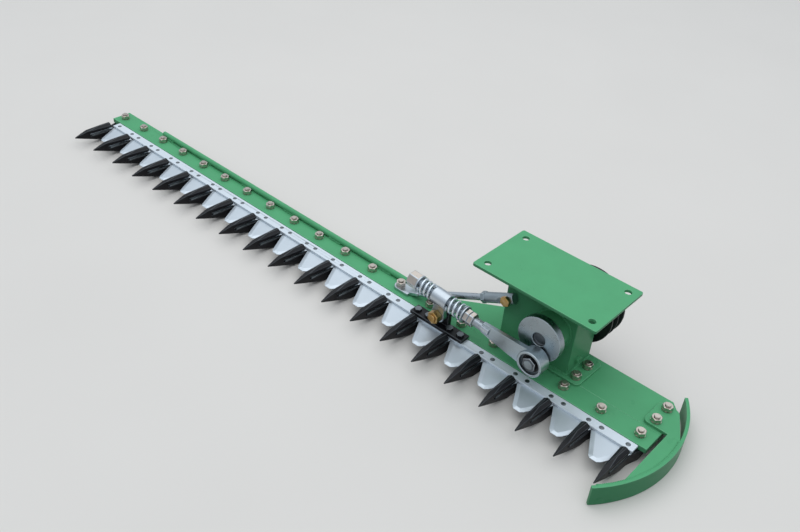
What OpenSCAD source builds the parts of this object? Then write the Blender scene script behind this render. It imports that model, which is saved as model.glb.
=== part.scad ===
// Sickle bar mower: a cutter bar with guard fingers, a knife that slides along it, and its crank drive.
// Lengths are millimetres. The pieces are laid out in bar coordinates: x runs along the bar from the
// first finger bolt towards the shoe, y rearwards from the row of finger bolts, and z up from the ground.
// The part frame has its origin at the middle of the mounting plate's top face.

/* [Cutter bar] */
// Spacing of the guard fingers and of the knife sections
pitch = 76.2; // [72:0.1:80]
// Number of guard fingers
finger_count = 20; // [12:1:20]
// Distance from the finger bolts to the bar's front edge
bar_front = 22; // [20:0.5:24]
// Distance from the finger bolts to the bar's rear edge
bar_rear = 25; // [23:0.5:30]
// Thickness of the bar and of the base plate
bar_t = 10; // [8:0.5:14]
// Bar length past the first finger bolt
bar_start = 20; // [17:1:30]
// Bar length past the last finger bolt
bar_end = 25; // [20:1:32]
// Diameter of the round stiffener on the bar
stiffener_d = 12; // [8:0.5:16]
// Distance from the first finger bolt to the stiffener
stiffener_start = 132; // [60:1:200]

/* [Base plate] */
// Distance from the finger bolts to the base plate's rear edge
base_rear = 110; // [104:1:125]
// Distance from the last finger bolt to the outer end of the base plate
base_len = 476; // [440:1:520]
// Length along the bar of the base plate's slanted end
base_taper = 127; // [100:1:150]
// Cut at the base plate's rear inner corner
base_corner = 22; // [10:1:28]

/* [Guard fingers] */
// Distance from the finger bolt to the tip
finger_reach = 140; // [132:1:150]
// Width of the finger over the knife
finger_w = 17; // [15:0.5:20]
// Width of the pad under the bar
finger_pad_w = 32; // [28:0.5:40]
// Height of the pad under the bar
finger_pad_h = 22; // [20:0.5:26]
// Pad length behind the finger bolt
finger_heel = 20; // [16:0.5:22]
// Distance from the finger bolts to the rear end of the lip over the knife
lip_rear = 46; // [45:0.5:50]
// Height of the finger's ridge over the knife sections
lip_h = 12; // [10:0.5:14]
// Thickness of the hardened ledger plate
ledger_t = 3; // [2:0.25:4]

/* [Knife] */
// Distance from the finger bolts to the front edge of the knife back
knife_front = 42; // [40:0.5:43]
// Width of the knife back
back_w = 19.5; // [16:0.5:19.5]
// Thickness of the knife back
back_t = 4.5; // [4:0.25:6]
// Thickness of a knife section
section_t = 3; // [2:0.25:4]
// Distance from the finger bolts to the tips of the sections
section_reach = 97; // [90:0.5:99]
// Width of a section at its tip
section_tip_w = 24; // [18:0.5:28]
// Shift of the sections from the fingers, towards the shoe
knife_lead = 10; // [0:0.5:12]
// Depth of the knife back under the top of the bar
knife_drop = 1.2; // [1:0.1:1.6]
// Diameter of the rivets
rivet_d = 5; // [4:0.25:6]

/* [Knife head] */
// Length of the knife head's base
head_len = 124; // [118:1:140]
// Thickness of the knife head's base
head_t = 7; // [6:0.5:9]
// Thickness of the upright ear
ear_t = 10; // [8:0.5:11]
// Width of the upright ear
ear_w = 36; // [32:0.5:36]
// Height of the pivot over the top of the bar
pivot_h = 29; // [28:0.5:34]
// Diameter of the pivot bolt
pivot_d = 14; // [12:0.5:16]

/* [Connecting rod] */
// Distance from the finger bolts to the rod's axis
rod_front = 35; // [34:0.5:36]
// Distance of the rod's axis from the pivot
rod_offset = 37; // [36.5:0.5:44]
// Diameter of the threaded rod
rod_d = 16; // [14:0.5:18]
// Length of the rod from the crank pin to its outer end
rod_len = 284; // [283:1:305]
// Diameter of the sleeve
sleeve_d = 32; // [30:0.5:36]
// Length of the sleeve
sleeve_len = 34; // [30:1:38]
// Thickness of the sleeve's lug
lug_t = 12; // [10:0.5:14]
// Thickness of the flat bar
flat_t = 8; // [6:0.5:10]
// Height of the flat bar at the big end
flat_h = 46; // [38:0.5:48]
// Outside diameter of the big end
ring_d = 50; // [48:0.5:54]
// Width of the big end
ring_w = 26; // [24:0.5:30]

/* [Springs] */
// Wire diameter of the buffer springs
wire_d = 5; // [4:0.25:5.5]
// Mean diameter of the buffer springs
spring_d = 27; // [25:0.5:29]
// Length of the spring on the crank's side of the sleeve
right_spring_len = 36; // [34:0.5:40]
// Length of the spring at the outer end of the rod
left_spring_len = 34; // [32:0.5:36]
// Curls of each spring
curls = 3.5; // [3:0.5:4]

/* [Crank drive] */
// Distance from the last finger bolt to the crank axis
crank_from_end = 208; // [200:0.5:216]
// Height of the crank axis over the top of the bar
crank_h = 85; // [83:0.5:88]
// Crank radius
crank_r = 36; // [34:0.5:37]
// Angle of the crank from its lowest point, in degrees
crank_turn = 10; // [0:0.5:15]
// Diameter of the crank disc
disc_d = 86; // [84:0.5:94]
// Thickness of the crank disc
disc_t = 14; // [12:0.5:16]
// Diameter of the crank pin
pin_d = 17; // [15:0.5:18]
// Diameter of the crank shaft
shaft_d = 25; // [22:0.5:28]
// Outside diameter of the shaft's ball bearings
bearing_d = 52; // [50:0.5:56]
// Width of the shaft's ball bearings
bearing_w = 15; // [13:0.5:17]
// Outside diameter of the bearing tube
tube_d = 70; // [66:0.5:76]
// Room between the drive pulley and the mounting plate over it
pulley_room = 12; // [8:0.25:16]
// Width of the drive pulley
pulley_w = 44; // [40:0.5:48]

/* [Housing] */
// Distance from the crank axis to the housing's outer side
housing_left = 103; // [98:0.5:108]
// Distance from the crank axis to the housing's inner side
housing_right = 44; // [42:0.5:46]
// Distance from the finger bolts to the housing's front
housing_front = 25; // [24:0.5:28]
// Distance from the finger bolts to the housing's rear
housing_rear = 98; // [94:0.5:102]
// Wall of the housing
housing_wall = 8; // [6:0.5:10]
// Thickness of the housing's foot
foot_t = 5; // [4:0.5:8]

/* [Mounting plate] */
// Length of the mounting plate along the bar
plate_l = 250; // [240:1:270]
// Width of the mounting plate
plate_w = 150; // [144:1:160]
// Thickness of the mounting plate
plate_t = 6; // [5:0.5:10]
// Height of the plate's underside over the top of the bar
plate_h = 165; // [164:0.5:174]
// Inset of the mounting holes from the plate's edges
hole_inset = 19; // [16:0.5:24]
// Diameter of the mounting holes
hole_d = 13; // [10:0.5:15]
// Radius of the plate's corners
plate_corner = 4; // [2:0.5:12]

/* [Stay] */
// Diameter of the stay
stay_d = 13; // [11:0.5:15]
// Diameter of the socket at the stay's upper end
socket_d = 20; // [18:0.5:21]
// Length of the socket
socket_len = 62; // [56:1:72]
// Thickness of the stay's flattened end
stay_lug_t = 6; // [5:0.5:8]

/* [Shoe] */
// Radius of the curved runner
runner_r = 228; // [220:1:240]
// Height of the runner
runner_h = 40; // [39:0.5:48]
// Thickness of the runner
runner_t = 6; // [5:0.5:8]
// Reach of the runner past the end of the bar
runner_reach = 41; // [38:0.5:46]
// Angle of the runner's front end, in degrees
runner_front = 41.7; // [38:0.1:44]
// Angle of the runner's rear end, in degrees
runner_back = 38; // [35:0.1:41]
// Thickness of the shoe plate
shoe_t = 6; // [5:0.5:7]

/* [Fasteners] */
// Thread diameter of the frame's bolts
bolt_d = 10; // [8:0.5:11]
// Width across flats of the frame's nuts
nut_af = 17; // [15:0.5:18]
// Height of the frame's nuts
nut_h = 8; // [6:0.5:9]
// Thickness of the frame's spring washers
washer_t = 2; // [1.5:0.25:3]

/* [Hidden] */
$fn = 48;
over = 1;
run_gap = 0.3;
bolt_gap = 0.25;
fit_gap = 0.03;

// Levels over the ground
bar_bottom = finger_pad_h;
bar_top = bar_bottom + bar_t;
back_top = bar_top - knife_drop;
section_top = back_top - back_t;
section_z = section_top - section_t;
ledger_top = section_z - run_gap;
ledge_z = ledger_top - ledger_t;

// Places along the bar
last_x = (finger_count - 1) * pitch;
bar_stop = last_x + bar_end;
base_start = last_x - base_len;
stiffener_lap = 30;
stiffener_stop = base_start + stiffener_lap;

// Guard finger
finger_plan_shares = [[0, 1], [0.5, 0.72], [0.8, 0.4], [1, 0.1]];
lip_top_shares = [[0, 0.9], [0.3, 1], [0.68, 0.68], [1, 0]];
lip_bottom = section_top + 2 * run_gap;
ridge_z = section_top + lip_h;
ridge_w = finger_w / 9;
lip_side_share = 0.5;
tip_t = 2;
tip_z = lip_bottom + tip_t / 2;
sole_front = 64;
slot_front = section_reach + bar_t / 2;
back_rear = knife_front - back_w;
bolt_seat = 8;
bolt_head_d = 20;
bolt_head_h = 6;
ledger_w = finger_w - ledger_t;
ledger_front_share = 0.7;

// Knife: sections and the rivets that hold them
section_count = finger_count - 1;
section_gap = 0.6;
section_root = knife_front + run_gap;
tip_chamfer_share = 0.22;
rivet_share = 1 / 3;
rivet_head_share = 1.8;
rivet_head_h = 0.7;
rivet_y = -(knife_front + back_rear) / 2;

// Knife head, over the sixth section from the shoe
head_section = section_count - 6;
pivot_x = knife_lead + (head_section + 0.5) * pitch;
pivot_z = bar_top + pivot_h;
head_bolts = [-1 + rivet_share, -rivet_share, rivet_share, 1 - rivet_share] * pitch;
head_bolt_d = 8;
head_bolt_af = 13;
head_bolt_head = 5;
head_front = knife_front + over;
head_lift = 0.6;
ear_front = rod_front - lug_t / 2 - run_gap;
ear_back = ear_front - ear_t;
ear_corner = 8;
pivot_af = 22;
pivot_nut_h = 11;
pivot_washer = 2.5;

// Crank and its pin
rod_y = -rod_front;
crank_x = last_x - crank_from_end;
crank_z = bar_top + crank_h;
pin_x = crank_x + crank_r * sin(crank_turn);
pin_z = crank_z - crank_r * cos(crank_turn);
pin_reach = norm([pin_x - pivot_x, pin_z - pivot_z]);
sleeve_at = sqrt(pin_reach * pin_reach - rod_offset * rod_offset);
rod_tilt = asin(rod_offset / pin_reach) - atan2(pin_z - pivot_z, pin_x - pivot_x);
disc_gap = 3;
disc_front = rod_y + ring_w / 2 + disc_gap;
disc_back = disc_front + disc_t;
disc_recess = 6;
disc_recess_d = shaft_d + over;
pin_seat = 10;

// Connecting rod, measured along its axis from the crank pin
flat_end = 110;
flat_end_h = 22;
rod_seat = 16;
lug_w = 26;
lug_end_d = 30;
bush_wall = 3;
rod_bore = rod_d + 2 * run_gap;
sleeve_right = sleeve_at - sleeve_len / 2;
sleeve_left = sleeve_at + sleeve_len / 2;
spring_washer_d = sleeve_d + over;
spring_washer_t = 3;
rod_nut_af = 24;
rod_nut_h = 10;
end_nut_af = 28;
end_nut_h = 22;
spring_gap = run_gap / 2;

// Big-end bearing and crank pin
big_bearing_d = ring_d - 10;
big_bearing_w = 16;
ring_lip = 2;
ring_lip_share = 0.85;
pin_spacer_d = pin_d + 5;
pin_washer_t = 2.5;
pin_nut_af = 24;
pin_nut_h = 6;
pin_tail = 1;

// Crank shaft, its bearings and the pulley
tube_front = disc_back + disc_gap;
tube_rear = housing_rear + disc_gap;
bearing_front = tube_front + disc_gap;
bearing_rear = tube_rear - disc_gap - bearing_w;
shaft_shoulder = 4;
pulley_gap = 4;
pulley_front = tube_rear + pulley_gap;
pulley_back = pulley_front + pulley_w;
pulley_d = 2 * (plate_h - crank_h - pulley_room);
groove_count = 2;
groove_pitch = 19;
groove_w = 16;
groove_d = 13;
groove_floor_share = 0.55;
pulley_rim = 8;
pulley_web = 10;
pulley_hub_d = 52;
key_w = 8;
key_h = 7;
key_len = 22;
disc_key_len = 7;
pulley_bolt_d = 10;
pulley_bolt_af = 17;
pulley_bolt_h = 7;
pulley_bolt_len = 18;
pulley_washer_d = 36;
pulley_washer_t = 4;

// Housing, its foot and the mounting plate
foot_z = bar_top + foot_t;
plate_bottom = bar_top + plate_h;
plate_top = plate_bottom + plate_t;
plate_shift = 24;
plate_x = crank_x - plate_shift;
plate_y = 46;
housing_x0 = crank_x - housing_left;
housing_x1 = crank_x + housing_right;
foot_lip = 30;
foot_front = 16;
foot_bolt_in = 7;
foot_bolt_step = 38;
foot_bolt_ys = [bar_rear + foot_bolt_in, bar_rear + foot_bolt_in + foot_bolt_step];
foot_bolt_x = housing_x1 + foot_lip / 2;
foot_corner = 10;

// Stay, from a finger bolt up to the housing
stay_finger = finger_count - 8;
stay_x = stay_finger * pitch;
stay_lug_w = 25;
stay_lug_len = 28;
stay_foot = [stay_x + stay_lug_len, 0, bar_top + stay_lug_t / 2];
stay_inset = 13;
stay_rise = 103;
stay_top = [housing_x0 + stay_inset, housing_front - socket_d / 2, bar_top + stay_rise];
stay_run = stay_top - stay_foot;
stay_len = norm(stay_run);
stay_neck = 16;
neck_run = [stay_run[0], stay_run[2]] / norm([stay_run[0], stay_run[2]]);
neck_up = [-neck_run[1], neck_run[0]];
neck_end = [stay_foot[0], stay_foot[2]] + neck_run * (stay_neck + stay_d / 2);
socket_end = 12;
socket_flat = 1;
socket_start = stay_len + socket_end - socket_len;
stay_thread = 20;
lock_nut_af = 20;
lock_nut_h = 8;
stay_bolt_d = 12;
stay_bolt_af = 18;
stay_bolt_h = 7;

// Shoe
runner_x = bar_stop + runner_reach - runner_r;
runner_y = -10;
shoe_z = bar_top;
shoe_gap = 9;
shoe_inner = bar_stop + shoe_gap;
shoe_tab = 38;
shoe_front = 29;
shoe_rear = 92;
shoe_corner = 9;
shoe_heel = 14;
shoe_round = 20;
shoe_lead = 9;
shoe_arm = runner_reach - shoe_gap - shoe_lead;
shoe_bolt_x = last_x + 5;
shoe_bolt_ys = [41, 79];

// Every bolt through the frame: x, y, the height its head bears on and the height its washer bears on
finger_bolts = [for (i = [0 : finger_count - 1])
    [i * pitch, 0, bolt_seat, bar_top + (i == stay_finger ? stay_lug_t : 0)]];
plate_bolts = [for (y = foot_bolt_ys) [foot_bolt_x, y, bar_bottom, foot_z]];
shoe_bolts = [for (y = shoe_bolt_ys) [shoe_bolt_x, y, bar_bottom, bar_top + shoe_t]];
under_bolts = concat(plate_bolts, shoe_bolts);
bolt_head_af = 17;
bolt_tail = 3;

// Places of the rivets: two to a section, but bolts where the knife head sits
function section_x(i) = knife_lead + (i + 0.5) * pitch;
function under_head(x) = abs(x - pivot_x) < head_len / 2;
rivet_xs = [for (i = [0 : section_count - 1], s = [-1, 1]) section_x(i) + s * rivet_share * pitch];

// Wire of a spring: a helix with a straight end of one wire diameter at each side
curl_rings = 8;
wire_sides = 6;
function helix_point(k, rise) =
    [cos(k * 360 / curl_rings) * spring_d / 2, sin(k * 360 / curl_rings) * spring_d / 2,
     wire_d / 2 + spring_gap + k * rise];
function unit(v) = v / norm(v);
function helix(len) =
    let (n = curls * curl_rings,
         rise = (len - wire_d - 2 * spring_gap) / n,
         turn = [for (k = [0 : n]) helix_point(k, rise)],
         ahead = unit([0, spring_d / 2, 0]),
         last = n * 360 / curl_rings,
         behind = [-sin(last), cos(last), 0])
    concat([turn[0] - ahead * wire_d], turn, [turn[n] + behind * wire_d]);
function run_at(path, k) =
    unit(path[min(k + 1, len(path) - 1)] - path[max(k - 1, 0)]);
function wire_ring(path, k) =
    let (t = run_at(path, k),
         out = unit(cross([0, 0, 1], t)),
         up = cross(t, out))
    [for (s = [0 : wire_sides - 1])
        path[k] + (out * cos(s * 360 / wire_sides) + up * sin(s * 360 / wire_sides)) * wire_d / 2];
function least_gap(path) =
    min([for (i = [1 : len(path) - 2], j = [i + curl_rings / 2 : 1 : len(path) - 2])
        norm(path[i] - path[j])]) - wire_d;
echo(str("least gap of the right spring to itself: ", least_gap(helix(right_spring_len))));
echo(str("least gap of the left spring to itself: ", least_gap(helix(left_spring_len))));

function finger_name(i) = str("finger_", i < 9 ? "0" : "", i + 1);

paint = "#2a8f4a";
blacking = "#1c1c20";
zinc = "#c9cdd2";
steel = "#9a9ca6";
yellow_zinc = "#b98a3a";

// Bar coordinates to the part frame
module place() translate([-plate_x, -plate_y, -plate_top]) children();

// A flat outline in x and z, thickened rearwards from a front face
module upright(front, t) translate([0, front + t, 0]) rotate([90, 0, 0]) linear_extrude(t) children();

// A flat outline in y and z, thickened along the bar about x = 0
module side_on(w) rotate([90, 0, 90]) linear_extrude(w, center = true) children();

// A round bar along y from a front face
module round_y(x, front, z, d, len) translate([x, front, z]) rotate([-90, 0, 0]) cylinder(d = d, h = len);

// A hexagon along z
module hexagon(af, h) rotate(30) cylinder(d = af / cos(30), h = h, $fn = 6);

// A hexagon along y from a front face
module hexagon_y(x, front, z, af, h) translate([x, front, z]) rotate([-90, 0, 0]) hexagon(af, h);

// The rod's own frame: the crank pin at the origin, the rod along -x
module on_rod() translate([pin_x, rod_y, pin_z]) rotate([0, rod_tilt, 0]) children();

// A round bar on the rod's axis, from one distance from the pin to another
module round_rod(from, to, d) translate([-from, 0, 0]) rotate([0, -90, 0]) cylinder(d = d, h = to - from);

// The frame of the stay: its axis along z
module on_stay()
    translate(stay_foot)
        rotate([0, acos(stay_run[2] / stay_len), atan2(stay_run[1], stay_run[0])]) children();

module bolt_holes(bolts, from, to)
    for (b = bolts)
        translate([b[0], b[1], from - over]) cylinder(d = bolt_d + 2 * bolt_gap, h = to - from + 2 * over);

module cutter_bar() color(paint) place() difference() {
    translate([-bar_start, -bar_front, bar_bottom])
        cube([bar_stop + bar_start, bar_front + bar_rear, bar_t]);
    bolt_holes(finger_bolts, bar_bottom, bar_top);
}

module rear_stiffener() color(paint) place()
    translate([stiffener_start, bar_rear - stiffener_d / 2, bar_top + stiffener_d / 2])
        rotate([0, 90, 0]) cylinder(d = stiffener_d, h = stiffener_stop - stiffener_start);

module base_plate() color(paint) place() difference() {
    translate([0, 0, bar_bottom]) linear_extrude(bar_t) polygon([
        [base_start, bar_rear], [bar_stop, bar_rear], [bar_stop, base_rear - base_corner],
        [bar_stop - base_corner, base_rear], [base_start + base_taper, base_rear]]);
    bolt_holes(under_bolts, bar_bottom, bar_top);
}

module finger_side() polygon(concat(
    [[finger_heel, 0], [finger_heel, bar_bottom], [-knife_front, bar_bottom], [-knife_front, ledge_z],
     [-slot_front, ledge_z], [-slot_front, lip_bottom], [-lip_rear, lip_bottom]],
    [for (s = lip_top_shares)
        [-lip_rear - s[0] * (finger_reach - lip_rear), tip_z + s[1] * (ridge_z - tip_z)]],
    [[-finger_reach, tip_z - tip_t], [-sole_front, 0]]));

module finger_plan() {
    nose = [for (s = finger_plan_shares)
        [s[1] * finger_w / 2, -lip_rear - s[0] * (finger_reach - lip_rear)]];
    side = concat([[finger_pad_w / 2, finger_heel + over], [finger_pad_w / 2, -bar_front]], nose);
    polygon(concat(side, [for (k = [len(side) - 1 : -1 : 0]) [-side[k][0], side[k][1]]]));
}

module finger_roof() {
    side_z = lip_bottom + lip_side_share * (ridge_z - lip_bottom);
    half = finger_w / 2;
    wide = finger_pad_w / 2 + over;
    slope = (ridge_z - side_z) / (half - ridge_w / 2);
    low = side_z - slope * (wide - half);
    polygon([[-wide, -over], [wide, -over], [wide, low], [ridge_w / 2, ridge_z],
             [-ridge_w / 2, ridge_z], [-wide, low]]);
}

module finger(i) color(blacking) place() translate([i * pitch, 0, 0]) difference() {
    intersection() {
        side_on(finger_pad_w) finger_side();
        linear_extrude(ridge_z + over) finger_plan();
        upright(-finger_reach - over, finger_reach + finger_heel + 2 * over) finger_roof();
    }
    translate([0, 0, -over]) cylinder(d = bolt_d + 2 * bolt_gap, h = bar_bottom + 2 * over);
    translate([0, 0, -over]) cylinder(d = bolt_head_d + 2 * bolt_gap, h = bolt_seat + over);
}

module ledger_plates() color(steel) place() for (i = [0 : finger_count - 1])
    translate([i * pitch, 0, ledge_z]) linear_extrude(ledger_t) polygon([
        [-ledger_w / 2, -knife_front], [ledger_w / 2, -knife_front],
        [ledger_w / 2 * ledger_front_share, -section_reach],
        [-ledger_w / 2 * ledger_front_share, -section_reach]]);

module frame_bolts() color(zinc) place() {
    for (b = finger_bolts) translate([b[0], b[1], 0]) {
        translate([0, 0, b[2] - bolt_head_h]) cylinder(d = bolt_head_d, h = bolt_head_h);
        translate([0, 0, b[2] - bolt_head_h])
            cylinder(d = bolt_d, h = b[3] + washer_t + nut_h + bolt_tail - b[2] + bolt_head_h);
    }
    for (b = under_bolts) translate([b[0], b[1], b[2] - bolt_head_h]) {
        hexagon(bolt_head_af, bolt_head_h);
        cylinder(d = bolt_d, h = b[3] + washer_t + nut_h + bolt_tail - b[2] + bolt_head_h);
    }
}

module frame_nuts() color(zinc) place() for (b = concat(finger_bolts, under_bolts))
    translate([b[0], b[1], b[3] + washer_t]) difference() {
        hexagon(nut_af, nut_h);
        translate([0, 0, -over]) cylinder(d = bolt_d + 2 * fit_gap, h = nut_h + 2 * over);
    }

module frame_washers() color(zinc) place() for (b = concat(finger_bolts, under_bolts))
    translate([b[0], b[1], b[3]]) difference() {
        cylinder(d = nut_af + washer_t, h = washer_t);
        translate([0, 0, -over]) cylinder(d = bolt_d + 2 * bolt_gap, h = washer_t + 2 * over);
    }

module shoe_plate() color(paint) place() difference() {
    translate([0, 0, shoe_z]) linear_extrude(shoe_t) intersection() {
        translate([runner_x, runner_y]) circle(r = runner_r - runner_t - fit_gap, $fn = 4 * $fn);
        union() {
            hull() {
                for (y = [shoe_front + shoe_corner, shoe_rear - shoe_corner])
                    translate([bar_stop - shoe_tab + shoe_corner, y]) circle(r = shoe_corner, $fn = 32);
                translate([bar_stop - shoe_heel, shoe_rear - shoe_round]) circle(r = shoe_round, $fn = 32);
                translate([shoe_inner, shoe_front]) square([shoe_arm, over]);
            }
            translate([shoe_inner, -runner_r]) square([runner_r, runner_r + shoe_front]);
        }
    }
    bolt_holes(shoe_bolts, shoe_z, shoe_z + shoe_t);
}

module shoe_runner() color(paint) place()
    translate([runner_x, runner_y, 0]) rotate(-runner_front)
        rotate_extrude(angle = runner_front + runner_back, $fn = 4 * $fn)
            translate([runner_r - runner_t, 0]) square([runner_t, runner_h]);

module drive_housing() color(paint) place() difference() {
    translate([housing_x0, housing_front, foot_z])
        cube([housing_x1 - housing_x0, housing_rear - housing_front, plate_bottom - foot_z]);
    translate([housing_x0 + housing_wall, housing_front + housing_wall, foot_z - over])
        cube([housing_x1 - housing_x0 - 2 * housing_wall,
              housing_rear - housing_front - 2 * housing_wall, plate_bottom - foot_z + 2 * over]);
    round_y(crank_x, housing_front - over, crank_z, tube_d, housing_rear - housing_front + 2 * over);
    round_y(stay_top[0], housing_front - over, stay_top[2], stay_bolt_d + 2 * fit_gap,
            housing_wall + over);
}

module housing_foot() color(paint) place() difference() {
    translate([0, 0, bar_top]) linear_extrude(foot_t) hull() {
        translate([housing_x0, foot_front]) square([housing_wall, housing_rear - foot_front]);
        for (y = [foot_front + foot_corner, housing_rear - foot_corner])
            translate([housing_x1 + foot_lip - foot_corner, y]) circle(r = foot_corner, $fn = 32);
    }
    bolt_holes(plate_bolts, bar_top, foot_z);
}

module mounting_plate() color(paint) place() difference() {
    translate([plate_x, plate_y, plate_bottom]) linear_extrude(plate_t) union() {
        square([plate_l - 2 * plate_corner, plate_w], center = true);
        square([plate_l, plate_w - 2 * plate_corner], center = true);
        for (sx = [-1, 1], sy = [-1, 1])
            translate([sx * (plate_l / 2 - plate_corner), sy * (plate_w / 2 - plate_corner)])
                circle(r = plate_corner);
    }
    for (sx = [-1, 1], sy = [-1, 1])
        translate([plate_x + sx * (plate_l / 2 - hole_inset), plate_y + sy * (plate_w / 2 - hole_inset),
                   plate_bottom - over]) cylinder(d = hole_d, h = plate_t + 2 * over);
}

module bearing_tube() color(paint) place() difference() {
    round_y(crank_x, tube_front, crank_z, tube_d, tube_rear - tube_front);
    round_y(crank_x, tube_front - over, crank_z, bearing_d + 2 * fit_gap, tube_rear - tube_front + 2 * over);
}

// A ball bearing about z: outer race, inner race and balls
module ball_bearing(bore, outside, w, balls) {
    mid = (bore + outside) / 4;
    wall = (outside - bore) / 6;
    ball = wall + bolt_gap;
    rotate_extrude() difference() {
        translate([outside / 2 - wall, 0]) square([wall, w]);
        translate([mid, w / 2]) circle(r = ball + fit_gap);
    }
    rotate_extrude() difference() {
        translate([bore / 2, 0]) square([wall, w]);
        translate([mid, w / 2]) circle(r = ball + fit_gap);
    }
    for (k = [0 : balls - 1]) rotate(k * 360 / balls) translate([mid, 0, w / 2]) sphere(r = ball);
}

module shaft_bearings() color(steel) place() for (y = [bearing_front, bearing_rear])
    translate([crank_x, y, crank_z]) rotate([-90, 0, 0])
        ball_bearing(shaft_d + 2 * fit_gap, bearing_d, bearing_w, 9);

module crank_shaft() color(steel) place() difference() {
    union() {
        round_y(crank_x, disc_front + disc_recess, crank_z, shaft_d, pulley_back - disc_front - disc_recess);
        round_y(crank_x, bearing_front + bearing_w + run_gap, crank_z, shaft_d + 2 * shaft_shoulder,
                bearing_rear - bearing_front - bearing_w - 2 * run_gap);
    }
    key_seats();
    round_y(crank_x, pulley_back - pulley_bolt_len, crank_z, pulley_bolt_d + 2 * fit_gap,
            pulley_bolt_len + over);
}

// The space of the two keys on top of the shaft
module key_seats() {
    for (k = [[disc_back - disc_key_len, disc_key_len], [pulley_back - key_len, key_len]])
        translate([crank_x - key_w / 2, k[0], crank_z + shaft_d / 2 - key_h / 2])
            cube([key_w, k[1], key_h]);
}

module shaft_keys() color(steel) place() key_seats();

module crank_disc() color(steel) place() difference() {
    round_y(crank_x, disc_front, crank_z, disc_d, disc_t);
    round_y(crank_x, disc_front - over, crank_z, disc_recess_d, disc_recess + over);
    round_y(crank_x, disc_front, crank_z, shaft_d + 2 * fit_gap, disc_t + over);
    round_y(pin_x, disc_front - over, pin_z, rod_d, pin_seat + over);
    key_seats();
}

// One groove of the pulley's rim, as points of its half section
function groove_points(k) =
    let (mid = pulley_w / 2 + (k - (groove_count - 1) / 2) * groove_pitch,
         top = groove_w / 2,
         floor = top * groove_floor_share)
    [[pulley_d / 2, mid - top], [pulley_d / 2 - groove_d, mid - floor],
     [pulley_d / 2 - groove_d, mid + floor], [pulley_d / 2, mid + top]];

module drive_pulley() color(blacking) place() difference() {
    rim = pulley_d / 2 - groove_d - pulley_rim;
    front = (pulley_w - pulley_web) / 2;
    back = (pulley_w + pulley_web) / 2;
    translate([crank_x, pulley_front, crank_z]) rotate([-90, 0, 0]) rotate_extrude() polygon(concat(
        [[shaft_d / 2, 0], [pulley_hub_d / 2, 0], [pulley_hub_d / 2, front],
         [rim, front], [rim, 0], [pulley_d / 2, 0]],
        [for (k = [0 : groove_count - 1]) each groove_points(k)],
        [[pulley_d / 2, pulley_w], [rim, pulley_w], [rim, back],
         [pulley_hub_d / 2, back], [pulley_hub_d / 2, pulley_w], [shaft_d / 2, pulley_w]]));
    key_seats();
}

module pulley_bolt() color(zinc) place() {
    difference() {
        round_y(crank_x, pulley_back, crank_z, pulley_washer_d, pulley_washer_t);
        round_y(crank_x, pulley_back - over, crank_z, pulley_bolt_d + 2 * bolt_gap,
                pulley_washer_t + 2 * over);
    }
    hexagon_y(crank_x, pulley_back + pulley_washer_t, crank_z, pulley_bolt_af, pulley_bolt_h);
    round_y(crank_x, pulley_back - pulley_bolt_len, crank_z, pulley_bolt_d,
            pulley_bolt_len + pulley_washer_t);
}

module stay_rod() color(zinc) place() {
    difference() {
        translate([0, 0, bar_top]) linear_extrude(stay_lug_t) union() {
            translate([stay_x, 0]) circle(d = stay_lug_w);
            translate([stay_x, -stay_lug_w / 2]) square([stay_lug_len, stay_lug_w]);
        }
        bolt_holes([finger_bolts[stay_finger]], bar_top, bar_top + stay_lug_t);
    }
    upright(-stay_d / 2, stay_d) polygon([
        [stay_x + stay_lug_len - stay_lug_t, bar_top], [stay_x + stay_lug_len, bar_top],
        neck_end - neck_up * stay_lug_t / 2, neck_end + neck_up * stay_lug_t / 2,
        [stay_x + stay_lug_len - stay_lug_t, bar_top + stay_lug_t]]);
    on_stay() translate([0, 0, stay_neck]) cylinder(d = stay_d, h = socket_start + stay_thread - stay_neck);
}

module stay_socket() color(steel) place() difference() {
    on_stay() translate([0, 0, socket_start]) cylinder(d = socket_d, h = socket_len);
    on_stay() translate([0, 0, socket_start - over])
        cylinder(d = stay_d + 2 * fit_gap, h = stay_thread + 2 * over);
    round_y(stay_top[0], stay_top[1] - socket_d, stay_top[2], stay_bolt_d + 2 * bolt_gap, 2 * socket_d);
    translate([stay_top[0] - socket_len, housing_front, stay_top[2] - socket_len])
        cube(2 * socket_len);
    translate([stay_top[0] - stay_bolt_af, stay_top[1] - socket_d, stay_top[2] - stay_bolt_af])
        cube([2 * stay_bolt_af, socket_d / 2 + socket_flat, 2 * stay_bolt_af]);
}

module stay_lock_nut() color(zinc) place() difference() {
    on_stay() translate([0, 0, socket_start - lock_nut_h]) hexagon(lock_nut_af, lock_nut_h);
    on_stay() translate([0, 0, socket_start - lock_nut_h - over])
        cylinder(d = stay_d + 2 * fit_gap, h = lock_nut_h + 2 * over);
}

module stay_bolt() color(yellow_zinc) place() {
    face = stay_top[1] + socket_flat - socket_d / 2;
    hexagon_y(stay_top[0], face - stay_bolt_h, stay_top[2], stay_bolt_af, stay_bolt_h);
    round_y(stay_top[0], face, stay_top[2], stay_bolt_d, housing_front + housing_wall - face);
}

module knife_back() color(zinc) place() difference() {
    translate([knife_lead - section_gap, -knife_front, section_top])
        cube([section_count * pitch + 2 * section_gap, back_w, back_t]);
    knife_holes(section_top, back_top);
}

// Rivet holes, or bolt holes under the knife head
module knife_holes(from, to)
    for (x = rivet_xs) translate([x, rivet_y, from - over])
        cylinder(d = (under_head(x) ? head_bolt_d : rivet_d) + 2 * fit_gap, h = to - from + 2 * over);

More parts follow.
